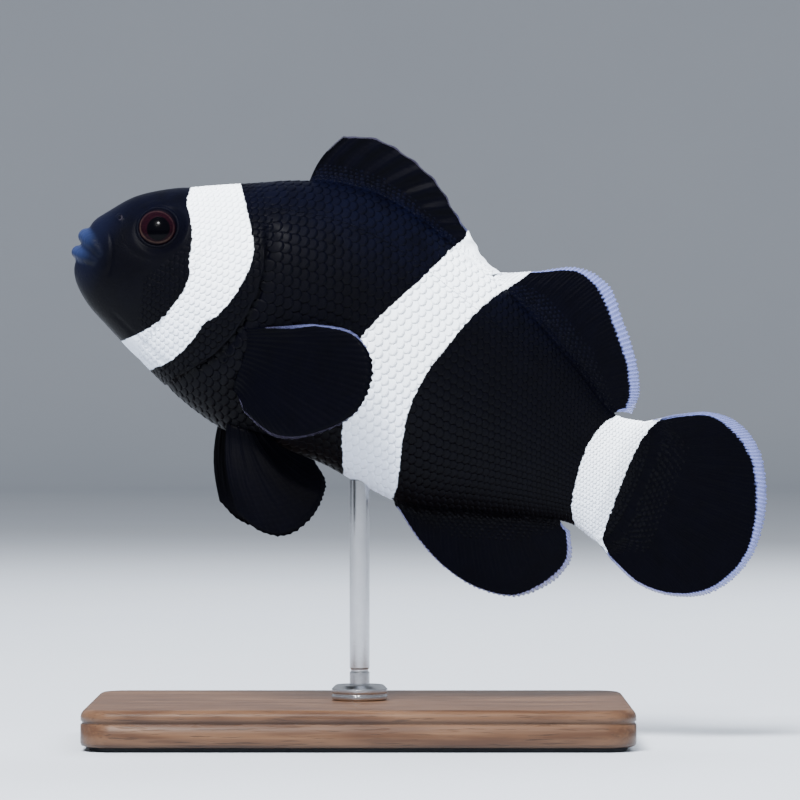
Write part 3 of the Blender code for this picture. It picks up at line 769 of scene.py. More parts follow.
def shell(upper, lower, flip=False, maps=None):
    """A closed shell between two like grids of places."""
    rows, columns = upper.shape[:2]
    count = rows * columns
    border = grid_border(rows, columns)
    after = np.roll(border, -1)
    rim = np.stack([border, border + count, after + count, after], axis=1)
    faces = np.concatenate([grid_faces(rows, columns), grid_faces(rows, columns, count, flip=True), rim])
    verts = np.concatenate([upper.reshape(-1, 3), lower.reshape(-1, 3)])
    twice = {name: np.concatenate([values, values]) for name, values in (maps or {}).items()}
    return verts, [faces[:, ::-1] if flip else faces], twice


# ---------------------------------------------------------------- fins


class Fin:
    """How one fin is drawn: its guide rays, and how it curves, forks and pales towards its margin."""

    bow, sway, pleat, edges, sink, teeth = (0, 0, 0), 0.0, 0.0, (0.0, 0.0), 0.0, 1

    def __init__(self, guides, **shape):
        self.guides = guides
        vars(self).update(shape)
        self.median = self.bow[1] == 0
        self.branches = self.splits * self.teeth


def mirrored(guides, side):
    return tuple(tuple((x, side * out, z) for x, out, z in ray) for ray in guides)


def swung(guides):
    """The right pelvic fin: drawn in towards its root and turned a little forward."""
    turn, pivot = Matrix.Rotation(RIGHT_PELVIC_FORWARD, 3, "Y"), Vector(RIGHT_PELVIC_HINGE)
    drawn = [(Vector(root), Vector(root).lerp(Vector(tip), RIGHT_PELVIC_SPREAD)) for root, tip in guides]
    return tuple(tuple(tuple(turn @ (p - pivot) + pivot) for p in ray) for ray in drawn)


def all_fins():
    """Every fin by name; splits is the number of ends of each ray, pale the width of the clear border."""
    fins = {
        "dorsal_fin_spiny": Fin(
            SPINY_DORSAL, rays=11, splits=1, pale=(0.24, 0.21, 0.2, 0.2, 0.2, 0.3, 0.6, 0.9), notch=0.15,
            bow=(-0.7, 0, 0.15), sway=-0.35, pleat=0.19, edges=(0.18, 0.0),
        ),
        "dorsal_fin_soft": Fin(
            SOFT_DORSAL, rays=15, splits=4, pale=(0.15, 0.24, 0.62, 1.45, 1.4, 1.35, 1.25, 1.0), notch=0.24,
            bow=(-0.25, 0, 0.45), sway=0.8, edges=(0.2, 0.5),
        ),
        "anal_fin": Fin(
            ANAL_FIN, rays=13, splits=4, pale=(0.14, 0.14, 0.15, 0.2, 0.34, 0.7, 0.68, 0.5), notch=0.16,
            bow=(-0.25, 0, -0.4), sway=-0.7, edges=(0.1, 0.3),
        ),
        "tail_fin": Fin(
            TAIL_FIN, rays=14, splits=4, pale=(0.3, 0.5, 1.35, 1.42, 1.3, 1.0, 0.85, 0.65, 0.42, 0.3, 0.25),
            notch=0.20, sway=0.9, edges=(0.3, 0.25), sink=0.12, teeth=2,
        ),
    }  # fmt: skip
    for side, hand in SIDES:
        fins[f"pectoral_fin_{hand}"] = Fin(
            mirrored(PECTORAL_FIN, side), rays=17, splits=2, notch=0.26,
            pale=(0.34, 0.27, 0.05, 0.04, 0.19, 0.28, 0.36, 0.24), bow=(0, side * 0.9, 0),
            edges=(0.36, 0.14),
        )  # fmt: skip
        pelvic = mirrored(PELVIC_FIN, side)
        fins[f"pelvic_fin_{hand}"] = Fin(
            swung(pelvic) if side > 0 else pelvic, rays=6, splits=4, notch=0.16,
            pale=(0.05, 0.05, 0.05, 0.05, 0.07, 0.09, 0.1), bow=(-0.75, side * 0.3, -0.25),
        )  # fmt: skip
    return fins


def nearness(places, border, widths, thinnest):
    """How far each place lies from the fin's border, as a share of the width of the pale edge there."""
    path = np.concatenate([[0], np.cumsum(np.linalg.norm(np.diff(border, axis=0), axis=1))])
    even = np.linspace(0, path[-1], int(path[-1] / 0.1))
    spots = np.stack([np.interp(even, path, border[:, k]) for k in range(3)], axis=1)
    near = np.full(len(places), FAR)
    for spot, width in zip(spots, np.interp(even, path, widths)):
        if width > thinnest:
            near = np.minimum(near, np.linalg.norm(places - spot, axis=1) / width)
    return near


def margin_cut(fin, across, phase, pale, draw):
    """How far the margin is cut back, in millimetres, along the rays.

    There is a tooth at the end of each branch, a little longer or shorter than its neighbours.
    """
    if fin.splits > 1:
        tooth = (0.5 + 0.5 * np.cos(math.tau * (phase * fin.branches - 0.5))) ** 1.2
    else:
        tooth = np.abs(np.cos(math.pi * (phase - 0.5))) ** 3
    teeth = fin.rays * fin.branches
    which = np.minimum((across * teeth + 1e-6).astype(int), teeth - 1)
    uneven = draw.uniform(-0.5, 0.5, teeth)[which]
    calm = 1 if fin.median else 1 - 0.85 * np.minimum(pale / 0.3, 1)
    cut = calm * fin.notch * ((1 - tooth) + uneven * tooth * (fin.splits > 1))
    return np.maximum(cut * window(across, 0, 0.04, 0.96, 1.0), -0.05)


def ray_ridges(fin, phase, t):
    """Height of the rays from 0 to 1: each forks on its way out, and flattens."""
    first, last = smooth_step(t, 0.35, 0.6), smooth_step(t, 0.62, 0.85)
    whole, forked, again = (
        sum(hump(phase, middle, width) for middle in middles) for middles, width in RAY_FORKS[fin.splits]
    )
    return (whole * (1 - first) + forked * first * (1 - last) + again * first * last) * (1 - 0.6 * t)


def fin_skin(fin, form, draw):
    """A fin as a thin closed membrane with raised, forking rays and a toothed margin, and its sheet."""
    per_ray = {1: 12, 2: 8, 4: 16 if fin.teeth == 1 else 24}[fin.splits]
    across = np.linspace(0, 1, fin.rays * per_ray + 1)
    phase = (across * fin.rays) % 1.0
    phase[-1] = 0.0
    near_root, far_out = (8, 9) if fin.median else (6, 7)
    drawn = [np.linspace(0, 0.3, near_root), 1 - 0.7 * np.linspace(1, 0, far_out + 1)[1:] ** 1.3]
    drawn = np.concatenate(drawn)[:, None]
    guides = np.array(fin.guides)
    if fin.median:
        guides = np.insert(guides, 1, 0.0, axis=2)
    root, tip = along(guides[:, 0], across), along(guides[:, 1], across)
    root = root - (tip - root) * fin.sink
    length = np.linalg.norm(tip - root, axis=1)
    pale = along(np.array(fin.pale)[:, None], across)[:, 0]
    t = drawn * (1 - margin_cut(fin, across, phase, pale, draw) / np.maximum(length, 1.0))

    sway = np.stack([0 * across, fin.sway * np.sin(math.tau * across), 0 * across], axis=1)
    place = root + (tip - root) * t[..., None]
    place = place + np.array(fin.bow) * np.sin(math.pi * t)[..., None]
    place = place + sway * t[..., None] ** 2
    run, turn = np.gradient(place, axis=0), np.gradient(place, axis=1)
    out = facing_right(np.cross(turn, run), len(drawn) // 2, len(across) // 2)

    half = form.membrane / MM / 2 + form.ray_height / MM * ray_ridges(fin, phase, t)
    half[-1] = MARGIN_HALF
    clear, thick = outside(place)
    if fin.median:
        # the foot grows smoothly out of the body, just under its surface
        clear = np.where(thick > 0, -thick, clear)
        half = -soft_least(-half, clear + 0.05 + form.coat_depth / MM, 1.0)
    else:
        half = half + ROOT_SWELL * np.exp(-np.maximum(clear, 0) / ROOT_REACH)
    pleat = fin.pleat * np.sin(math.tau * (across * fin.rays - 0.25)) * smooth_step(clear, 0.0, 2.5)
    place = place + out * pleat[..., None]
    sheet = {
        "place": place,
        "out": out,
        "half": half,
        "drawn": drawn[:, 0],
        "clear": clear,
        "long": np.broadcast_to(length, half.shape),
        "wide": np.linalg.norm(np.gradient(place, across, axis=1), axis=2),
    }

    # the border runs up the front edge, along the margin and down the rear edge
    margin = tip + sway if fin.splits > 1 else place[-1]
    fade = smooth_step(drawn[:, 0], *((0.35, 0.8) if fin.median else (0.12, 0.7)))
    border = np.concatenate([place[:, 0], margin[1:-1], place[::-1, -1]])
    widths = np.concatenate([fade * fin.edges[0], pale[1:-1], fade[::-1] * fin.edges[1]])
    near = nearness(place.reshape(-1, 3), border, widths, 0.13 if fin.median else 0.08)
    rays = flat_map(across * fin.rays * fin.branches, t * length)
    upper, lower = place + out * half[..., None], place - out * half[..., None]
    return shell(upper, lower, flip=True, maps={"Rays": rays, "Margin": flat_map(near, 1.0)}), sheet


# ---------------------------------------------------------------- scales


def scale_template(cells):
    """One scale as a closed round shell: a grid of top places, the rim below and the middle below."""
    line = np.linspace(-1, 1, cells + 1)
    p, q = np.meshgrid(line, line, indexing="ij")
    u, v = p * np.sqrt(1 - q**2 / 2), q * np.sqrt(1 - p**2 / 2)
    top = np.stack([u, v, np.ones_like(u)], axis=-1).reshape(-1, 3)
    border = grid_border(cells + 1, cells + 1)
    below = np.arange(len(border)) + len(top)
    hub = np.full(len(border), len(top) + len(border))
    rim = np.stack([border, below, np.roll(below, -1), np.roll(border, -1)], axis=1)
    fan = np.stack([hub, np.roll(below, -1), below], axis=1)
    places = np.concatenate([top, top[border] * (1, 1, 0), [(0, 0, 0)]])
    return places, np.concatenate([grid_faces(cells + 1, cells + 1), rim]), fan


def lay_scales(table, behind, around, long, wide, form, draw, cells=5, lift=0.0, slope=0.85, slim=False):
    """Scales rooted on a surface at the given places, each length and width in millimetres."""
    shape, quads, fan = scale_template(cells)
    count, size = len(behind), len(shape)
    turn = draw.normal(0, 0.05, count)[:, None]
    long = (long * draw.uniform(0.95, 1.06, count))[:, None]
    wide = (wide * draw.uniform(0.95, 1.06, count))[:, None]
    u, v, top = shape.T[:, None]
    back, side = u * long / 2, v * wide / 2 * (1 - 0.10 * u)
    back, side = back * np.cos(turn) - side * np.sin(turn), back * np.sin(turn) + side * np.cos(turn)
    place, out = table.spread(behind, around, back, side)
    depth, thick = form.coat_depth / MM, form.scale_thickness / MM
    height = lift - depth * slope * (1 - u) / 2 - 0.03 * v**2 + draw.normal(0, 0.006, count)[:, None]
    height = height - np.where(top > 0.5, 0.0, thick)
    if slim:
        height = height + 0.06 * (top > 0.5) * (1 - v**2) * (1 - u**2)
    verts = (place + out * height[..., None]).reshape(-1, 3)
    first = (np.arange(count) * size)[:, None, None]
    faces = [(quads + first).reshape(-1, 4), (fan + first).reshape(-1, 3)]
    # each scale's small patch, at its root's place on an unwrap of the skin's own surface
    patch_u, patch_v = (value[:, None] for value in table.unwrap(behind, around, long[:, 0]))
    maps = {
        "OFBake": flat_map(patch_u + u * PATCH / 2, patch_v + v * PATCH / 2),
        "Scale": flat_map((u + 1) / 2, (v + 1) / 2 + 0 * back),
    }
    return verts, faces, maps


def scale_grid(table, rows, span, spacing):
    """Staggered roots for scales on the body: behind, around, length of the column and row."""
    stations, x = [], span[0]
    while x < span[1]:
        stations.append(x)
        x += spacing * table.half_girth(x) / rows
    grid = np.meshgrid(np.arange(len(stations) - 1), np.arange(rows), (-1, 1), indexing="ij")
    column, row, side = (values.ravel() for values in grid)
    step = np.diff(stations)[column]
    behind = np.array(stations)[column] + np.where(row % 2, 0.5, 0.0) * step
    return behind, side * (row + 0.5) / rows, step, row


def trunk_scales(form, table):
    """Places and sizes of the trunk's scales: behind, around, length, width and row."""
    rows, (longer, wider) = form.scale_rows, TRUNK_OVERLAP
    behind, around, step, row = scale_grid(table, rows, TRUNK_SPAN, TRUNK_SPACING)
    place, _ = table.at(behind, around)
    keep = (gill_gap(place) > 0.45) & (behind < 74.0) & (oval(place, *PECTORAL_BARE) > 1.0)
    wide = table.half_girth(behind) / rows * wider
    return [values[keep] for values in (behind, around, step * longer, wide, row)]


def head_scales(form, table):
    """Places, sizes and lift of the smaller scales of the nape, cheeks and gill covers."""
    rows, (longer, wider) = int(form.scale_rows * HEAD_ROWS_SHARE), HEAD_OVERLAP
    behind, around, step, _ = scale_grid(table, rows, HEAD_SPAN, HEAD_SPACING)
    place, _ = table.at(behind, around)
    scaled = scaled_share(place)
    tall = (place[:, 2] < 9.5) & (place[:, 2] > -10)
    keep = (gill_gap(place) < np.where(tall, -0.75, 0.45)) & (scaled > 0.55)
    wide = table.half_girth(behind) / rows * wider
    lift = -0.045 - 0.08 * (1 - scaled[:, None])
    return [values[keep] for values in (behind, around, step * longer, wide, lift)]


# ---------------------------------------------------------------- turned and stacked forms


def turned(profile, steps=96):
    """A closed form turned about z from (radius, height) points, whose first and last lie on the axis."""
    ring = np.linspace(0, math.tau, steps, endpoint=False)
    radius, height = np.array(profile[1:-1], float).T[..., None]
    verts = np.stack(np.broadcast_arrays(radius * np.cos(ring), radius * np.sin(ring), height), axis=-1)
    ends = [(0, 0, profile[0][1]), (0, 0, profile[-1][1])]
    return np.concatenate([verts.reshape(-1, 3), ends]), closed_rings(len(radius), steps), {}


def rounded(points, radius=0.25, steps=4):
    """The line of (radius, height) points with its inner corners rounded off."""
    points = np.array(points, float)
    line = [points[0]]
    for before, corner, after in zip(points, points[1:], points[2:]):
        reach = [np.linalg.norm(corner - end) for end in (before, after)]
        cut = min(radius, 0.45 * reach[0], 0.45 * reach[1])
        a, b = (corner + (end - corner) / far * cut for end, far in zip((before, after), reach))
        for s in np.linspace(0, 1, steps + 1):
            line.append((1 - s) ** 2 * a + 2 * s * (1 - s) * corner + s * s * b)
    return line + [points[-1]]


def slab(size, corner, profile, steps=16):
    """A rounded plate: profile gives (inset, height) from the underside to the top."""
    rings = []
    for inset, height in profile:
        radius = max(corner - inset, 0.3)
        for k, (sx, sy) in enumerate(((1, 1), (-1, 1), (-1, -1), (1, -1))):
            middle = (sx * (size[0] / 2 - inset - radius), sy * (size[1] / 2 - inset - radius))
            for a in np.linspace(k * math.pi / 2, (k + 1) * math.pi / 2, steps):
                rings.append((middle[0] + radius * math.cos(a), middle[1] + radius * math.sin(a), height))
    rings += [(0, 0, profile[0][1]), (0, 0, profile[-1][1])]
    return np.array(rings), closed_rings(len(profile), 4 * steps), {}


# ---------------------------------------------------------------- materials


def maths(operation, reflected=False):
    """A method that adds one Math node; the reflected form takes the value itself last."""

    def method(self, *others):
        terms = (*others, self) if reflected else (self, *others)
        return self.finish.node("ShaderNodeMath", {"operation": operation}, dict(enumerate(terms)))

    return method


class Value:
    """A number in a material; arithmetic on it adds the Math nodes."""

    def __init__(self, finish, socket):
        self.finish, self.socket = finish, socket

    __add__ = __radd__ = maths("ADD")
    __sub__, __rsub__ = maths("SUBTRACT"), maths("SUBTRACT", reflected=True)
    __mul__ = __rmul__ = maths("MULTIPLY")
    __truediv__, __rtruediv__ = maths("DIVIDE"), maths("DIVIDE", reflected=True)
    least, most = maths("MINIMUM"), maths("MAXIMUM")
    cosine, root, angle_from = maths("COSINE"), maths("SQRT"), maths("ARCTAN2")

    def step(self, low, high):
        """0 below low, 1 above high, and smooth between them."""
        settings, values = {"interpolation_type": "SMOOTHSTEP"}, {0: self, 1: low, 2: high, 3: 0.0, 4: 1.0}
        return self.finish.node("ShaderNodeMapRange", settings, values)


class Finish:
    """One material, with its nodes made by a single method; a colour may be given by its setting's name."""

    def __init__(self, name, colours, **constants):
        self.material = bpy.data.materials.new(name)
        self.material.use_nodes = True
        self.colours, self.tree = colours, self.material.node_tree
        self.shader = self.tree.nodes["Principled BSDF"]
        for socket, value in constants.items():
            self.set(socket.replace("_", " ").title().replace("Ior", "IOR"), value)

    def node(self, kind, settings=None, values=None, output=0):
        made = self.tree.nodes.new(kind)
        for name, setting in (settings or {}).items():
            setattr(made, name, setting)
        for key, value in (values or {}).items():
            self.join(made.inputs[key], value)
        return Value(self, made.outputs[output])

    def join(self, socket, value):
        if isinstance(value, Value):
            self.tree.links.new(value.socket, socket)
        else:
            socket.default_value = (*getattr(self.colours, value), 1.0) if isinstance(value, str) else value

    def set(self, name, value):
        self.join(self.shader.inputs[name], value)

    def mix(self, share, first, second):
        return self.node("ShaderNodeMix", {"data_type": "RGBA"}, {0: share, 6: first, 7: second}, output=2)

    def in_fish(self):
        """The place in the fish's own frame, in millimetres, for a piece settled in the row frame."""
        pose = fish_pose()
        place = self.node("ShaderNodeTexCoord", output="Object")
        values = {0: place, 1: pose.translation, 2: pose.to_euler(), 3: (MM, MM, MM)}
        return self.node("ShaderNodeMapping", {"vector_type": "TEXTURE"}, values)

    def own(self):
        """The place in the piece's own frame, in millimetres."""
        place = self.node("ShaderNodeTexCoord", output="Object")
        return self.node("ShaderNodeVectorMath", {"operation": "SCALE"}, {0: place, "Scale": 1 / MM})

    def parts(self, vector):
        split = self.node("ShaderNodeSeparateXYZ", values={0: vector}).socket.node
        return tuple(Value(self, split.outputs[k]) for k in range(3))

    def map(self, name):
        return self.parts(self.node("ShaderNodeUVMap", {"uv_map": name}))[:2]

    def vector(self, x, y, z):
        return self.node("ShaderNodeCombineXYZ", values={0: x, 1: y, 2: z})

    def noise(self, place, scale, detail=2.0, rough=0.5):
        values = {"Vector": place, "Scale": scale, "Detail": detail, "Roughness": rough}
        return self.node("ShaderNodeTexNoise", {}, values)

    def cells(self, place, scale):
        return self.node("ShaderNodeTexVoronoi", {}, {"Vector": place, "Scale": scale})

    def curve(self, value, points):
        """The height to which a smooth curve through (across, height) points takes the value."""
        points = sorted(points)
        low, high = points[0][0], points[-1][0]
        floor = min(p[1] for p in points) - 1.0
        room = max(p[1] for p in points) + 1.0 - floor
        drawn = self.node("ShaderNodeFloatCurve", {}, {1: (value - low) / (high - low)})
        mapping = drawn.socket.node.mapping
        line = mapping.curves[0]
        while len(line.points) < len(points):
            line.points.new(0.5, 0.5)
        for knot, (across, height) in zip(line.points, points):
            knot.location = ((across - low) / (high - low), (height - floor) / room)
        mapping.update()
        return drawn * room + floor

    def bump(self, height, depth, under=None):
        """A bumped normal, over another one if given; depth is in millimetres."""
        values = {"Height": height, "Distance": depth * MM}
        if under is not None:
            values["Normal"] = under
        return self.node("ShaderNodeBump", {}, values)


def white_bars(look, place):
    """1 inside the three white bars, 0 outside, with slightly uneven edges."""
    x, _, z = look.parts(place)
    wave = (look.noise(place, 1.6, 2.0) - 0.5) * 0.55 + (look.noise(place, 5.0, 1.0) - 0.5) * 0.14
    inside = None
    for front, rear in WHITE_BARS:
        after = x + wave - look.curve(z, [(h, b) for b, h in front])
        before = look.curve(z, [(h, b) for b, h in rear]) - x + wave
        band = after.least(before).step(-0.07, 0.07)
        inside = band if inside is None else inside.most(band)
    return inside


def flesh_colour(look, place, bars, sheen_share=1.0):
    """Black flesh with a painted blue sheen along the top, and white bars that turn darker and bluer towards
    the belly as painted shade.
    """
    x, _, z = look.parts(place)
    mottle = look.noise(place, 0.35, 3.0, 0.6)
    # painted sheen: the black turns bluer and lighter towards the top, as though lit from above, and reaches
    # lower on the forehead than further back
    back = (z - x.step(3.0, 22.0) * 7.0).step(1.0, 12.0) * sheen_share
    black = look.mix(back, "black_low", "black_back_sheen")
    black = look.mix(mottle.step(0.35, 0.75) * 0.55, black, "black_fleck")
    # painted shade: the white bars turn darker and bluer towards the belly, away from the light above
    white = look.mix(z.step(-14.0, 6.0), "white_low_shade", "white_bar")
    white = look.mix(look.noise(place, 1.3, 3.0).step(0.45, 0.8) * 0.35, white, "white_shade")
    return look.mix(bars, black, white)


def body_finish(colours):
    look = Finish("clownfish_skin", colours, specular_ior_level=0.06, coat_roughness=0.28)
    place = look.in_fish()
    colour = flesh_colour(look, place, white_bars(look, place))
    lip, pit = look.map("Face")
    x, _, z = look.parts(place)
    muzzle = (1 - x.step(0.5, 5.0)) * 0.6
    colour = look.mix(muzzle, colour, "muzzle")
    shade = look.noise(place, 2.2, 3.0, 0.6)
    # the lips are blue-grey; their lighter front is partly a painted highlight, and they darken towards the
    # corners
    lips = look.mix(x.step(-0.6, 2.6), "lip", "lip_back")
    colour = look.mix(lip * (0.65 + 0.35 * shade), colour, lips)
    rim = pit.step(0.14, 0.24) * (1 - pit.step(0.30, 0.42)) * x.step(NOSTRIL[0] - 0.1, NOSTRIL[0] + 0.2)
    look.set("Base Color", look.mix(rim * 0.8, colour, "nostril"))
    aside, above = x - EYE_PLACE[0], z - EYE_PLACE[2]
    orbit = 1 - (aside * aside + above * above).root().step(2.4, 4.6)
    look.set("Roughness", 0.40 + 0.14 * shade - 0.08 * lip + 0.40 * orbit)
    look.set("Coat Weight", 0.02 + 0.05 * lip)
    leather = look.cells(place, 3.2) * 0.7 + look.noise(place, 9.0, 2.0) * 0.5
    pores = look.cells(place, 1.05).step(0.03, 0.13)
    look.set("Normal", look.bump(pores, 0.04, under=look.bump(leather, 0.03)))
    return look.material


def scale_finish(colours):
    look = Finish("clownfish_scales", colours, specular_ior_level=0.06, coat_roughness=0.25)
    place = look.in_fish()
    bars = white_bars(look, place)
    colour = flesh_colour(look, place, bars)
    u, v = look.map("Scale")
    across = v - 0.5
    edge = u.step(0.78, 1.0)
    colour = look.mix(edge * bars * 0.05, colour, "white_edge")
    # painted sheen: the rear edges of the black scales are lighter and bluer
    look.set("Base Color", look.mix(edge * (1 - bars) * 0.40, colour, "black_edge_sheen"))
    grain = look.noise(place, 3.0, 2.0)
    look.set("Roughness", 0.42 + 0.16 * grain + 0.04 * bars)
    look.set("Coat Weight", 0.012 + 0.02 * grain)
    # growth rings round the scale's root, and fine combs on its rear edge
    far = (u * u + across * across * 0.8).root()
    rings = (far * 95.0).cosine() * 0.5 + 0.5
    combs = (across.angle_from(u + 0.15) * 70.0).cosine() * edge
    look.set("Normal", look.bump(rings * 0.4 + combs * 0.6 + grain * 0.6, 0.014))
    return look.material


def fin_finish(colours, name, barred):
    look = Finish(name, colours, specular_ior_level=0.03, coat_roughness=0.3)
    place = look.in_fish()
    bars = white_bars(look, place) if barred else 0.0
    # the fins take a little of the painted blue sheen of the back
    colour = flesh_colour(look, place, bars, 0.15)
    ray, reach = look.map("Rays")
    near, _ = look.map("Margin")
    comb = (ray * math.tau).cosine() * -0.5 + 0.5
    grain = look.noise(place, 2.6, 3.0, 0.6)
    web = look.noise(look.vector(ray * 2.0, reach * 0.6, 0.0), 1.0, 2.0)
    colour = look.mix(comb * 0.4 * web, colour, "fin_ray")
    inner = 0.95 + (comb - 0.5) * 0.10 + (grain - 0.5) * 0.45
    behind, _, height = look.parts(place)
    # the middle bar runs on through the borders
    pale = (1 - ((near - inner) * 3.6).step(-0.5, 0.5)) * (1 - bars * (1 - behind.step(58.0, 60.0)) * 0.85)
    margin = look.mix(height.step(-15.0, -5.0), "margin_low", "margin")
    tips = comb.step(0.45, 1.0) * (0.35 + 0.35 * height.step(-12.0, -2.0))
    margin = look.mix(tips, margin, "margin_comb")
    # the borders of the paired fins and of the spiny dorsal fin are dimmer
    bright = behind.step(40.0, 50.0) if barred else height.step(-6.0, -1.0) * reach.step(1.0, 9.0) * 0.27
    margin = look.mix(1 - bright, margin, "margin_dim")
    look.set("Base Color", look.mix(pale * (0.80 + 0.2 * grain), colour, margin))
    look.set("Roughness", 0.42 + 0.16 * grain - 0.06 * pale)
    look.set("Coat Weight", 0.015 * (1 - pale))
    thin = pale * (1 - near.step(0.2, 0.95) * 0.55) * (1 - comb.step(0.3, 0.9) * 0.4)
    look.set("Alpha", 1 - 0.58 * thin)
    joints = look.bump((reach * 9.0 + web * 3.0).cosine() * comb, 0.006)
    look.set("Normal", look.bump(comb * 0.5 + grain * 0.6, 0.03, under=joints))
    return look.material


def eye_finish(colours, name, side):
    look = Finish(name, colours, coat_weight=0.05, coat_roughness=0.02, specular_ior_level=0.02)
    place = look.own()
    x, y, _ = look.parts(place)
    # the iris is a little wider than high and lies low in the socket, with the pupil towards its lower rear
    high, low, rear = (y + 0.15) * 1.10, (y + 0.34) * 0.95, (x + 0.34 * side) * 1.02
    far, inner = (x * x + high * high).root(), (rear * rear + low * low).root()
    fibres = look.noise(look.vector(y.angle_from(x) * 5.0, far * 1.1, 0.0), 2.4, 3.0, 0.7)
    grain = look.noise(place, 4.0, 3.0)
    uneven = (look.noise(place, 0.9, 2.0) - 0.5) * 0.16
    iris = look.mix(fibres.step(0.35, 0.7), "iris", "iris_fleck")
    # the pale ring has darker patches at random, and painted shade darkens its top
    ring_patches_and_top_shade = (grain.step(0.35, 0.75) * 0.45 + y.step(-1.6, 0.9) * 0.75).least(1.0)
    ring = look.mix(ring_patches_and_top_shade, "eye_ring", "eye_ring_dark_and_shade")
    colour = look.mix((inner + uneven).step(1.34, 1.46), PUPIL, iris)
    ringed = (far + uneven).step(1.97, 2.08) * (1 - (far - uneven).step(2.12, 2.22))
    colour = look.mix(ringed, colour, ring)
    look.set("Base Color", look.mix((far - uneven * 0.5).step(2.2, 2.34), colour, EYE_EDGE))
    look.set("Roughness", 0.18 + 0.22 * inner.step(1.3, 1.5))
    look.set("Normal", look.bump(fibres * inner.step(1.35, 1.5), 0.03))
    return look.material


def wood_finish(colours):
    look = Finish("stand_wood", colours, coat_weight=0.15, coat_roughness=0.3, specular_ior_level=0.3)
    x, y, z = look.parts(look.own())
    drift = look.noise(look.vector(x * 0.018, y * 0.10, z * 0.10), 1.0, 3.0, 0.55)
    rings = ((y * 0.34 + z * 0.5 + drift * 11.0) * math.tau * 0.55).cosine() * 0.5 + 0.5
    fibre = look.noise(look.vector(x * 0.10, y * 3.2, z * 3.2), 1.0, 4.0, 0.65)
    pores = 1 - look.noise(look.vector(x * 0.28, y * 5.5, z * 5.5), 1.0, 2.0).step(0.30, 0.42)
    colour = look.mix(rings * 0.75 + fibre * 0.25, "wood", "wood_dark")
    colour = look.mix(fibre.step(0.45, 0.8) * 0.4, colour, "wood_light")
    look.set("Base Color", look.mix(pores * 0.6, colour, "wood_pore"))
    look.set("Roughness", 0.36 + 0.14 * fibre)
    look.set("Normal", look.bump(fibre * 0.5 - pores, 0.03))
    return look.material


def felt_finish(colours):
    look = Finish("stand_felt", colours, roughness=0.95, specular_ior_level=0.2)
    fuzz = look.noise(look.own(), 5.0, 4.0, 0.7)
    look.set("Base Color", look.mix(fuzz, FELT, FELT_FUZZ))
    look.set("Normal", look.bump(fuzz, 0.12))
    return look.material


def steel_finish(colours):
    look = Finish("stand_steel", colours, metallic=1.0)
    place = look.own()
    x, y, z = look.parts(place)
    brushed = look.noise(look.vector(y.angle_from(x) * 0.9, 0.0, z * 9.0), 2.0, 4.0, 0.7)
    look.set("Base Color", look.mix(look.noise(place, 0.5, 2.0), "steel", "steel_shade"))
    look.set("Roughness", 0.17 + 0.16 * brushed)
    look.set("Normal", look.bump(brushed, 0.008))
    return look.material


def studio_finish(colours):
    look = Finish("studio_paper", colours, roughness=0.85, specular_ior_level=0.2)
    place = look.own()
    look.set("Base Color", look.mix(look.noise(place, 0.012, 2.0), "paper", "paper_shade"))
    look.set("Normal", look.bump(look.noise(place, 1.6, 3.0), 0.05))
    return look.material


# ---------------------------------------------------------------- settings


def tint(name, description, default):
    return bpy.props.FloatVectorProperty(
        name=name, description=description, default=default, size=3, min=0.0, max=1.0, subtype="COLOR"
    )


def length(name, description, default, low=0.0, high=0.01):
    words = {"name": name, "description": description, "precision": 5, "unit": "LENGTH"}
    return bpy.props.FloatProperty(**words, default=default * MM, min=low, max=high)


def watts(name, description, default):
    return bpy.props.FloatProperty(name=name, description=description, default=default, min=0, unit="POWER")


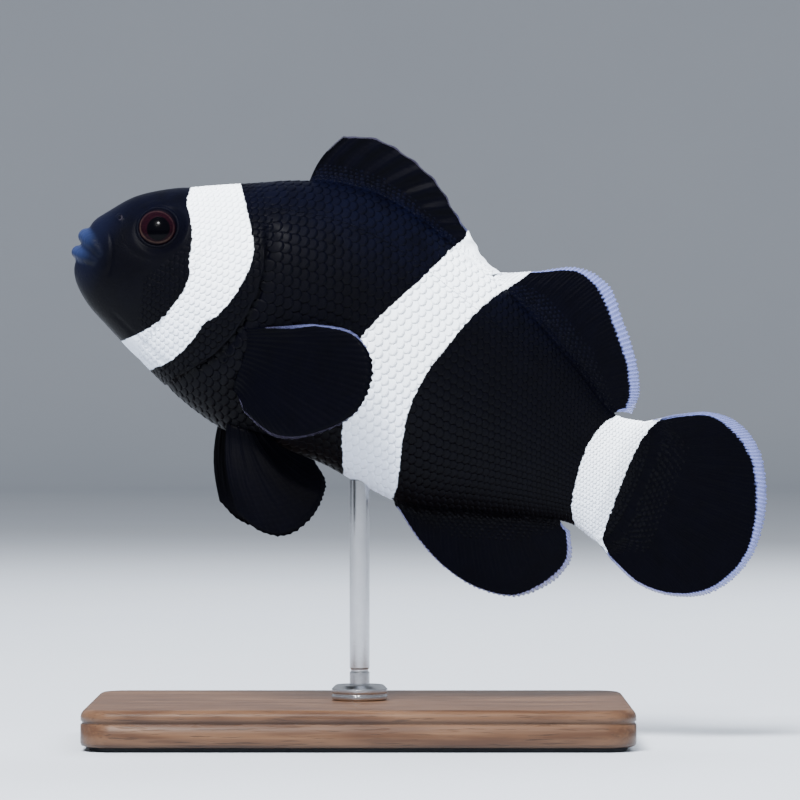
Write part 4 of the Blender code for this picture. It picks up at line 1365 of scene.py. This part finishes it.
class ClownfishColours(bpy.types.PropertyGroup):
    # painted sheen: the black of the back is bluer and lighter along the top, as though lit from above
    black_back_sheen: tint("Black of the back", "Flesh along the back", (0.0008, 0.0010, 0.0039))
    black_low: tint("Black of the belly", "Flesh along the flanks and belly", (0.00040, 0.00040, 0.0013))
    black_fleck: tint("Black flecks", "Soft flecks in the black flesh", (0.0003, 0.0003, 0.0007))
    # painted sheen: the rear edges of the black scales, lighter and bluer than the black
    black_edge_sheen: tint("Black scale edge", "Rear edge of the black scales", (0.0010, 0.0011, 0.0028))
    white_bar: tint("White bars", "The three bars", (0.83, 0.87, 0.91))
    # painted shade: the white of the bars towards the belly, darker and bluer than above
    white_low_shade: tint("White bars below", "The bars towards the belly", (0.68, 0.75, 0.88))
    white_shade: tint("White shade", "Soft clouds in the white", (0.70, 0.76, 0.85))
    white_edge: tint("White scale edge", "Rear edge of the white scales", (0.58, 0.65, 0.78))
    muzzle: tint("Muzzle", "Bluish snout and chin", (0.0032, 0.0042, 0.0135))
    # the lips' blue-grey, painted lighter at the front as a highlight and darker towards the corners
    lip: tint("Lips", "Blue-grey front of the lips", (0.0120, 0.0200, 0.062))
    lip_back: tint("Lip corners", "Darker corners of the lips", (0.0016, 0.0022, 0.0060))
    nostril: tint("Nostril rim", "Raised rim of the nostrils", (0.020, 0.017, 0.022))
    fin_ray: tint("Fin rays", "Rays in the black of the fins", (0.0012, 0.0012, 0.0019))
    margin: tint("Fin margin", "Pale clear border of the fins", (0.100, 0.118, 0.290))
    margin_low: tint("Low fin margin", "Greyer border of the fins under the body", (0.095, 0.090, 0.165))
    margin_dim: tint("Dim fin margin", "Border of the paired and spiny dorsal fins", (0.020, 0.018, 0.031))
    margin_comb: tint("Fin margin rays", "Ray tips in the pale border", (0.165, 0.19, 0.40))
    iris: tint("Iris", "Dark red-brown iris", (0.0021, 0.0005, 0.0014))
    iris_fleck: tint("Iris fibres", "Lighter fibres of the iris", (0.0058, 0.0010, 0.0023))
    eye_ring: tint("Eye ring", "Pale ring round the iris", (0.0215, 0.0125, 0.0098))
    # the ring's darker colour, for its random patches and for the painted shade at its top
    eye_ring_dark_and_shade: tint("Eye ring shade", "Darker parts of the pale ring", (0.0085, 0.0034, 0.0048))
    wood: tint("Wood", "Base of the stand", (0.075, 0.038, 0.020))
    wood_dark: tint("Wood, late rings", "Darker growth rings", (0.034, 0.015, 0.008))
    wood_light: tint("Wood, light fibres", "Lighter fibres", (0.125, 0.070, 0.038))
    wood_pore: tint("Wood pores", "Open pores", (0.018, 0.009, 0.005))
    steel: tint("Steel", "Rod and collar", (0.60, 0.60, 0.61))
    steel_shade: tint("Steel shade", "Duller parts of the steel", (0.50, 0.505, 0.52))
    paper: tint("Studio paper", "Floor and backdrop", (0.36, 0.375, 0.40))
    paper_shade: tint("Studio paper shade", "Soft clouds in the paper", (0.34, 0.355, 0.385))


class ClownfishForm(bpy.types.PropertyGroup):
    scale_rows: bpy.props.IntProperty(
        name="Scale rows", description="From back to belly on each side", default=30, min=16, max=40
    )
    coat_depth: length("Coat depth", "How far the skin lies below the tops of the scales", 0.12)
    scale_thickness: length("Scale thickness", "Thickness of a scale's edge", 0.028)
    membrane: length("Fin membrane", "Thickness of a fin between its rays", 0.16)
    ray_height: length("Ray height", "How far a fin ray stands above the membrane", 0.06)
    lid_width: length("Eyelid width", "Half width of the ring of skin round the eye", 0.28)
    lid_height: length("Eyelid height", "Half height of the ring of skin round the eye", 0.12)
    seed: bpy.props.IntProperty(name="Seed", description="Start of the random draws", default=22, min=0)


class ClownfishStage(bpy.types.PropertyGroup):
    lens: bpy.props.FloatProperty(
        name="Lens", description="Focal length in mm on a 36 mm sensor", default=221.1, min=20, max=400
    )
    distance: length("Camera distance", "From the camera to the fish's middle plane", 600.0, high=5.0)
    camera_across: length("Camera across", "Camera's place along X", -2.39, low=-1.0, high=1.0)
    camera_height: length("Camera height", "Camera's place above the floor", 41.63, high=1.0)
    key_power: watts("Key light", "Power of the overhead soft box", 26.0)
    fill_power: watts("Fill light", "Power of the front soft box", 11.0)
    catch_power: watts("Catch light", "Power of the small light that glints in the eye", 2.6)
    rim_power: watts("Rim light", "Power of the light behind the fish", 9.0)


# ---------------------------------------------------------------- operators


def put(piece, slot, *nodes):
    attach(piece, "root")
    if nodes:
        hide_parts(*nodes)
    return piece


def corners(box):
    """The two corners of a solid's box, in millimetres, and the middle between them."""
    low, high = (np.array(corner) / MM for corner in box)
    return low, high, (low + high) / 2


class CLOWNFISH_OT_skin(bpy.types.Operator):
    """One skin over the body, lips, gill covers and fins"""

    bl_idname = "clownfish.skin"
    bl_label = "Make skin and fins"

    def execute(self, context):
        form, colours = context.scene.clownfish_form, context.scene.clownfish_colours
        draw, table = np.random.default_rng(form.seed), BodyTable()
        materials = [
            body_finish(colours),
            fin_finish(colours, "clownfish_median_fins", True),
            fin_finish(colours, "clownfish_paired_fins", False),
        ]
        body, median, paired = range(3)
        pieces = [(body_skin(form), body)]
        for side, _ in SIDES:
            pieces += [(eyelid(side, form), body), (gill_edge(side, table), body)]
        for name, fin in all_fins().items():
            pieces.append((fin_skin(fin, form, draw)[0], paired if name.startswith("pe") else median))
        by_size = {}
        for (_, face_sets, _), material in pieces:
            for faces in face_sets:
                by_size.setdefault(faces.shape[1], []).append(np.full(len(faces), material))
        face_materials = np.concatenate([np.concatenate(sets) for sets in by_size.values()])
        made = merged([piece for piece, _ in pieces])
        skin = new_piece("clownfish_skin", made, materials, fish_pose(), face_materials, settled=True)
        put(skin, "skin", *FLESH)
        return {"FINISHED"}


class CLOWNFISH_OT_scales(bpy.types.Operator):
    """Overlapping scales over the trunk, tail stalk, nape, cheeks and gill covers"""

    bl_idname = "clownfish.scales"
    bl_label = "Make scales"

    def execute(self, context):
        form = context.scene.clownfish_form
        draw, table = np.random.default_rng(form.seed + 1), BodyTable()
        material = scale_finish(context.scene.clownfish_colours)

        def coat(name, made):
            put(new_piece(name, made, [material], fish_pose(), settled=True), "skin")

        behind, around, long, wide, row = trunk_scales(form, table)
        for side, hand in SIDES:
            for part, low, high in TRUNK_PARTS:
                mine = (np.sign(around) == side) & (behind >= low) & (behind < high)
                made = [lay_scales(table, behind[mine], around[mine], long[mine], wide[mine], form, draw)]
                line = mine & (row == LATERAL_ROW) & (behind < LATERAL_END)
                roots = (behind[line] + 0.25, around[line], long[line] * 0.42, wide[line] * 0.15)
                made.append(lay_scales(table, *roots, form, draw, cells=4, lift=0.02, slope=0.3, slim=True))
                coat(f"scales_{part}_{hand}", merged(made))
        behind, around, long, wide, lift = head_scales(form, table)
        for side, hand in SIDES:
            mine = np.sign(around) == side
            roots = (behind[mine], around[mine], long[mine], wide[mine])
            coat(f"scales_head_{hand}", lay_scales(table, *roots, form, draw, 4, lift[mine], slope=0.55))
        feet = []
        for order, fin in enumerate(fin for name, fin in all_fins().items() if not name.startswith("pe")):
            foot = FinTable(fin_skin(fin, form, draw)[1], order)
            feet.append(lay_scales(foot, *foot.roots(8, 0.95), form, draw, cells=3, lift=0.035, slope=0.6))
        coat("scales_fin_feet", merged(feet))
        return {"FINISHED"}


class CLOWNFISH_OT_eyes(bpy.types.Operator):
    """Two glossy eyes with pupil, iris and pale ring"""

    bl_idname = "clownfish.eyes"
    bl_label = "Make eyes"

    def execute(self, context):
        radii = np.concatenate([np.linspace(0, 1.5, 18), np.linspace(1.56, 2.46, 22)])
        heights = eye_bulge(radii)
        heights += 0.06 * (1 - smooth_step(radii, 0.3, 1.7)) - 0.02 * hump(radii, 2.02, 0.1)
        back = np.linspace(EYE_RADIUS, 0, 16)
        depths = -EYE_DEPTH * np.sqrt(1 - (back / EYE_RADIUS) ** 2)
        profile = [*zip(radii, heights), *zip(back, depths)][::-1]
        for side, name in SIDES:
            turn = Matrix(eye_frame(side).T.tolist()).to_4x4()
            matrix = fish_pose() @ Matrix.Translation(Vector(eye_centre(side) * MM)) @ turn
            material = eye_finish(context.scene.clownfish_colours, f"clownfish_eye_{name}", side)
            eye = new_piece(f"clownfish_eye_{name}", turned(profile), [material], matrix)
            put(eye, "eye", f"eye_{name}")
        return {"FINISHED"}


class CLOWNFISH_OT_stand(bpy.types.Operator):
    """Varnished wooden base on felt, with a steel rod and its collar"""

    bl_idname = "clownfish.stand"
    bl_label = "Make stand"

    def execute(self, context):
        colours = context.scene.clownfish_colours
        low, high, centre = corners(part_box("stand_base"))
        size, top = high - low, high[2]
        at_base = Matrix.Translation((centre[0] * MM, centre[1] * MM, 0))
        edge = [(0.5, 0.55), (0.12, 0.7), (0.0, 1.0), (0.0, 3.15), (0.16, 3.25), (0.22, 3.4), (0.16, 3.55)]
        edge += [(0.02, 3.65), (0.02, 4.1), (0.12, 4.5), (0.38, 4.84), (0.8, top), (1.4, top), (6.0, top)]
        base = new_piece("stand_plate", slab(size, 4.0, edge), [wood_finish(colours)], at_base)
        put(base, "base_wood", "stand_base")
        felt_edge = [(6.0, 0.0), (1.3, 0.0), (1.1, 0.1), (1.05, 0.3), (1.1, 0.56), (6.0, 0.6)]
        felt = new_piece("stand_felt_pad", slab(size, 4.0, felt_edge), [felt_finish(colours)], at_base)
        put(felt, "base_wood")

        steel = steel_finish(colours)
        low, high, centre = corners(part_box("stand_rod"))
        at_rod = Matrix.Translation((centre[0] * MM, centre[1] * MM, 0))
        radius, tip = (high[0] - low[0]) / 2 - 0.02, high[2] + 0.9
        neck = radius - 0.14
        line = [(0, 4.6), (radius, 4.6), (radius, 8.4), (neck, 8.5), (neck, 8.8), (radius, 8.9)]
        line += [(radius, tip - 0.8), (radius - 0.5, tip - 0.2), (0.4, tip), (0, tip)]
        rod = new_piece("stand_steel_rod", turned(rounded(line, 0.12)), [steel], at_rod)
        put(rod, "rod_steel", "stand_rod")
        low, high, _ = corners(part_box("stand_collar"))
        wide, foot, head = (high[0] - low[0]) / 2, top - 0.02, high[2]
        neck = wide - 0.16
        line = [(0, foot), (wide - 0.25, foot), (wide, foot + 0.2), (wide, foot + 0.62)]
        line += [(neck, foot + 0.72), (neck, foot + 0.86), (wide, foot + 0.96), (wide, head - 0.5)]
        line += [(wide - 0.5, head), (radius + 0.55, head), (radius + 0.2, head - 0.2), (0, head - 0.2)]
        collar = new_piece("stand_turned_collar", turned(rounded(line, 0.1)), [steel], at_rod)
        put(collar, "rod_steel", "stand_collar")
        return {"FINISHED"}


def soft_box(name, place, size, power, colour, in_gloss=False):
    """A soft lamp aimed at the model; in_gloss lets glossy pieces mirror it."""
    light = bpy.data.lights.new(name, "AREA")
    light.shape, light.size, light.size_y = "RECTANGLE", size[0], size[1]
    light.energy, light.color = power, colour
    lamp = bpy.data.objects.new(name, light)
    bpy.context.scene.collection.objects.link(lamp)
    lamp.location = place
    lamp.visible_glossy = in_gloss
    lamp.rotation_euler = (Vector(MODEL_MIDDLE) - Vector(place)).to_track_quat("-Z", "Y").to_euler()


class CLOWNFISH_OT_stage(bpy.types.Operator):
    """Pale floor curving up into a backdrop, soft lights and the camera"""

    bl_idname = "clownfish.stage"
    bl_label = "Set the stage"

    def execute(self, context):
        stage = context.scene.clownfish_stage
        flat, bend, wall, steps = 1700.0, 500.0, 1500.0, 64
        line = [(0.0, 0.0)] + [(r, 0.0) for r in np.geomspace(60, flat, 10)]
        for a in np.linspace(0.1, math.pi / 2, 12):
            line.append((flat + bend * math.sin(a), bend * (1 - math.cos(a))))
        line += [(flat + bend, wall), (flat + bend, wall + 100), (0.0, wall + 100)]
        verts, faces, maps = turned(line, steps)
        # only the floor and its wall are kept of the turned form, which is left open above
        closing, upper = len(verts) - 1, len(verts) - 2 - 3 * steps
        faces = [some[(some < upper).any(axis=1) & (some != closing).all(axis=1)] for some in faces]
        paper = studio_finish(context.scene.clownfish_colours)
        floor = new_piece("studio_floor", (verts, faces, maps), [paper])

        soft_box("key_light", (-0.16, -0.34, 0.62), (0.30, 0.24), stage.key_power, (0.93, 0.96, 1.0))
        soft_box("fill_light", (0.50, -0.75, 0.35), (1.0, 1.0), stage.fill_power, (0.90, 0.94, 1.0))
        soft_box("catch_light", (-0.13, -0.50, 0.46), (0.045, 0.045), stage.catch_power, (1, 1, 1), True)
        soft_box("rim_light", (0.22, 0.42, 0.42), (0.5, 0.3), stage.rim_power, (0.86, 0.92, 1.0))
        world = bpy.data.worlds.new("studio")
        world.use_nodes = True
        ground = world.node_tree.nodes["Background"]
        ground.inputs["Color"].default_value = (0.80, 0.86, 0.95, 1.0)
        ground.inputs["Strength"].default_value = 0.7
        context.scene.world = world

        camera = bpy.data.cameras.new("camera")
        camera.lens, camera.sensor_width = stage.lens, 36.0
        camera.clip_start, camera.clip_end = 0.01, 10.0
        seen = bpy.data.objects.new("camera", camera)
        context.scene.collection.objects.link(seen)
        seen.location = (stage.camera_across, -stage.distance, stage.camera_height)
        seen.rotation_euler = (math.pi / 2, 0.0, 0.0)
        context.scene.camera = seen
        return {"FINISHED"}


class CLOWNFISH_PT_panel(bpy.types.Panel):
    bl_idname = "CLOWNFISH_PT_panel"
    bl_label = "Clownfish"
    bl_space_type = "VIEW_3D"
    bl_region_type = "UI"
    bl_category = "Clownfish"

    def draw(self, context):
        for operator in OPERATORS:
            self.layout.operator(operator.bl_idname)
        for group in ("clownfish_form", "clownfish_colours", "clownfish_stage"):
            settings = getattr(context.scene, group)
            box = self.layout.box()
            for name in settings.__annotations__:
                box.prop(settings, name)


OPERATORS = (
    CLOWNFISH_OT_stage,
    CLOWNFISH_OT_skin,
    CLOWNFISH_OT_scales,
    CLOWNFISH_OT_eyes,
    CLOWNFISH_OT_stand,
)
SETTINGS = {
    "clownfish_colours": ClownfishColours,
    "clownfish_form": ClownfishForm,
    "clownfish_stage": ClownfishStage,
}


def register():
    for cls in (*SETTINGS.values(), *OPERATORS, CLOWNFISH_PT_panel):
        bpy.utils.register_class(cls)
    for name, cls in SETTINGS.items():
        setattr(bpy.types.Scene, name, bpy.props.PointerProperty(type=cls))


def unregister():
    for name in SETTINGS:
        delattr(bpy.types.Scene, name)
    for cls in reversed((*SETTINGS.values(), *OPERATORS, CLOWNFISH_PT_panel)):
        bpy.utils.unregister_class(cls)


def main():
    register()
    bpy.ops.clownfish.stage()
    bpy.ops.clownfish.skin()
    bpy.ops.clownfish.scales()
    bpy.ops.clownfish.eyes()
    bpy.ops.clownfish.stand()


if __name__ == "__main__":
    main()
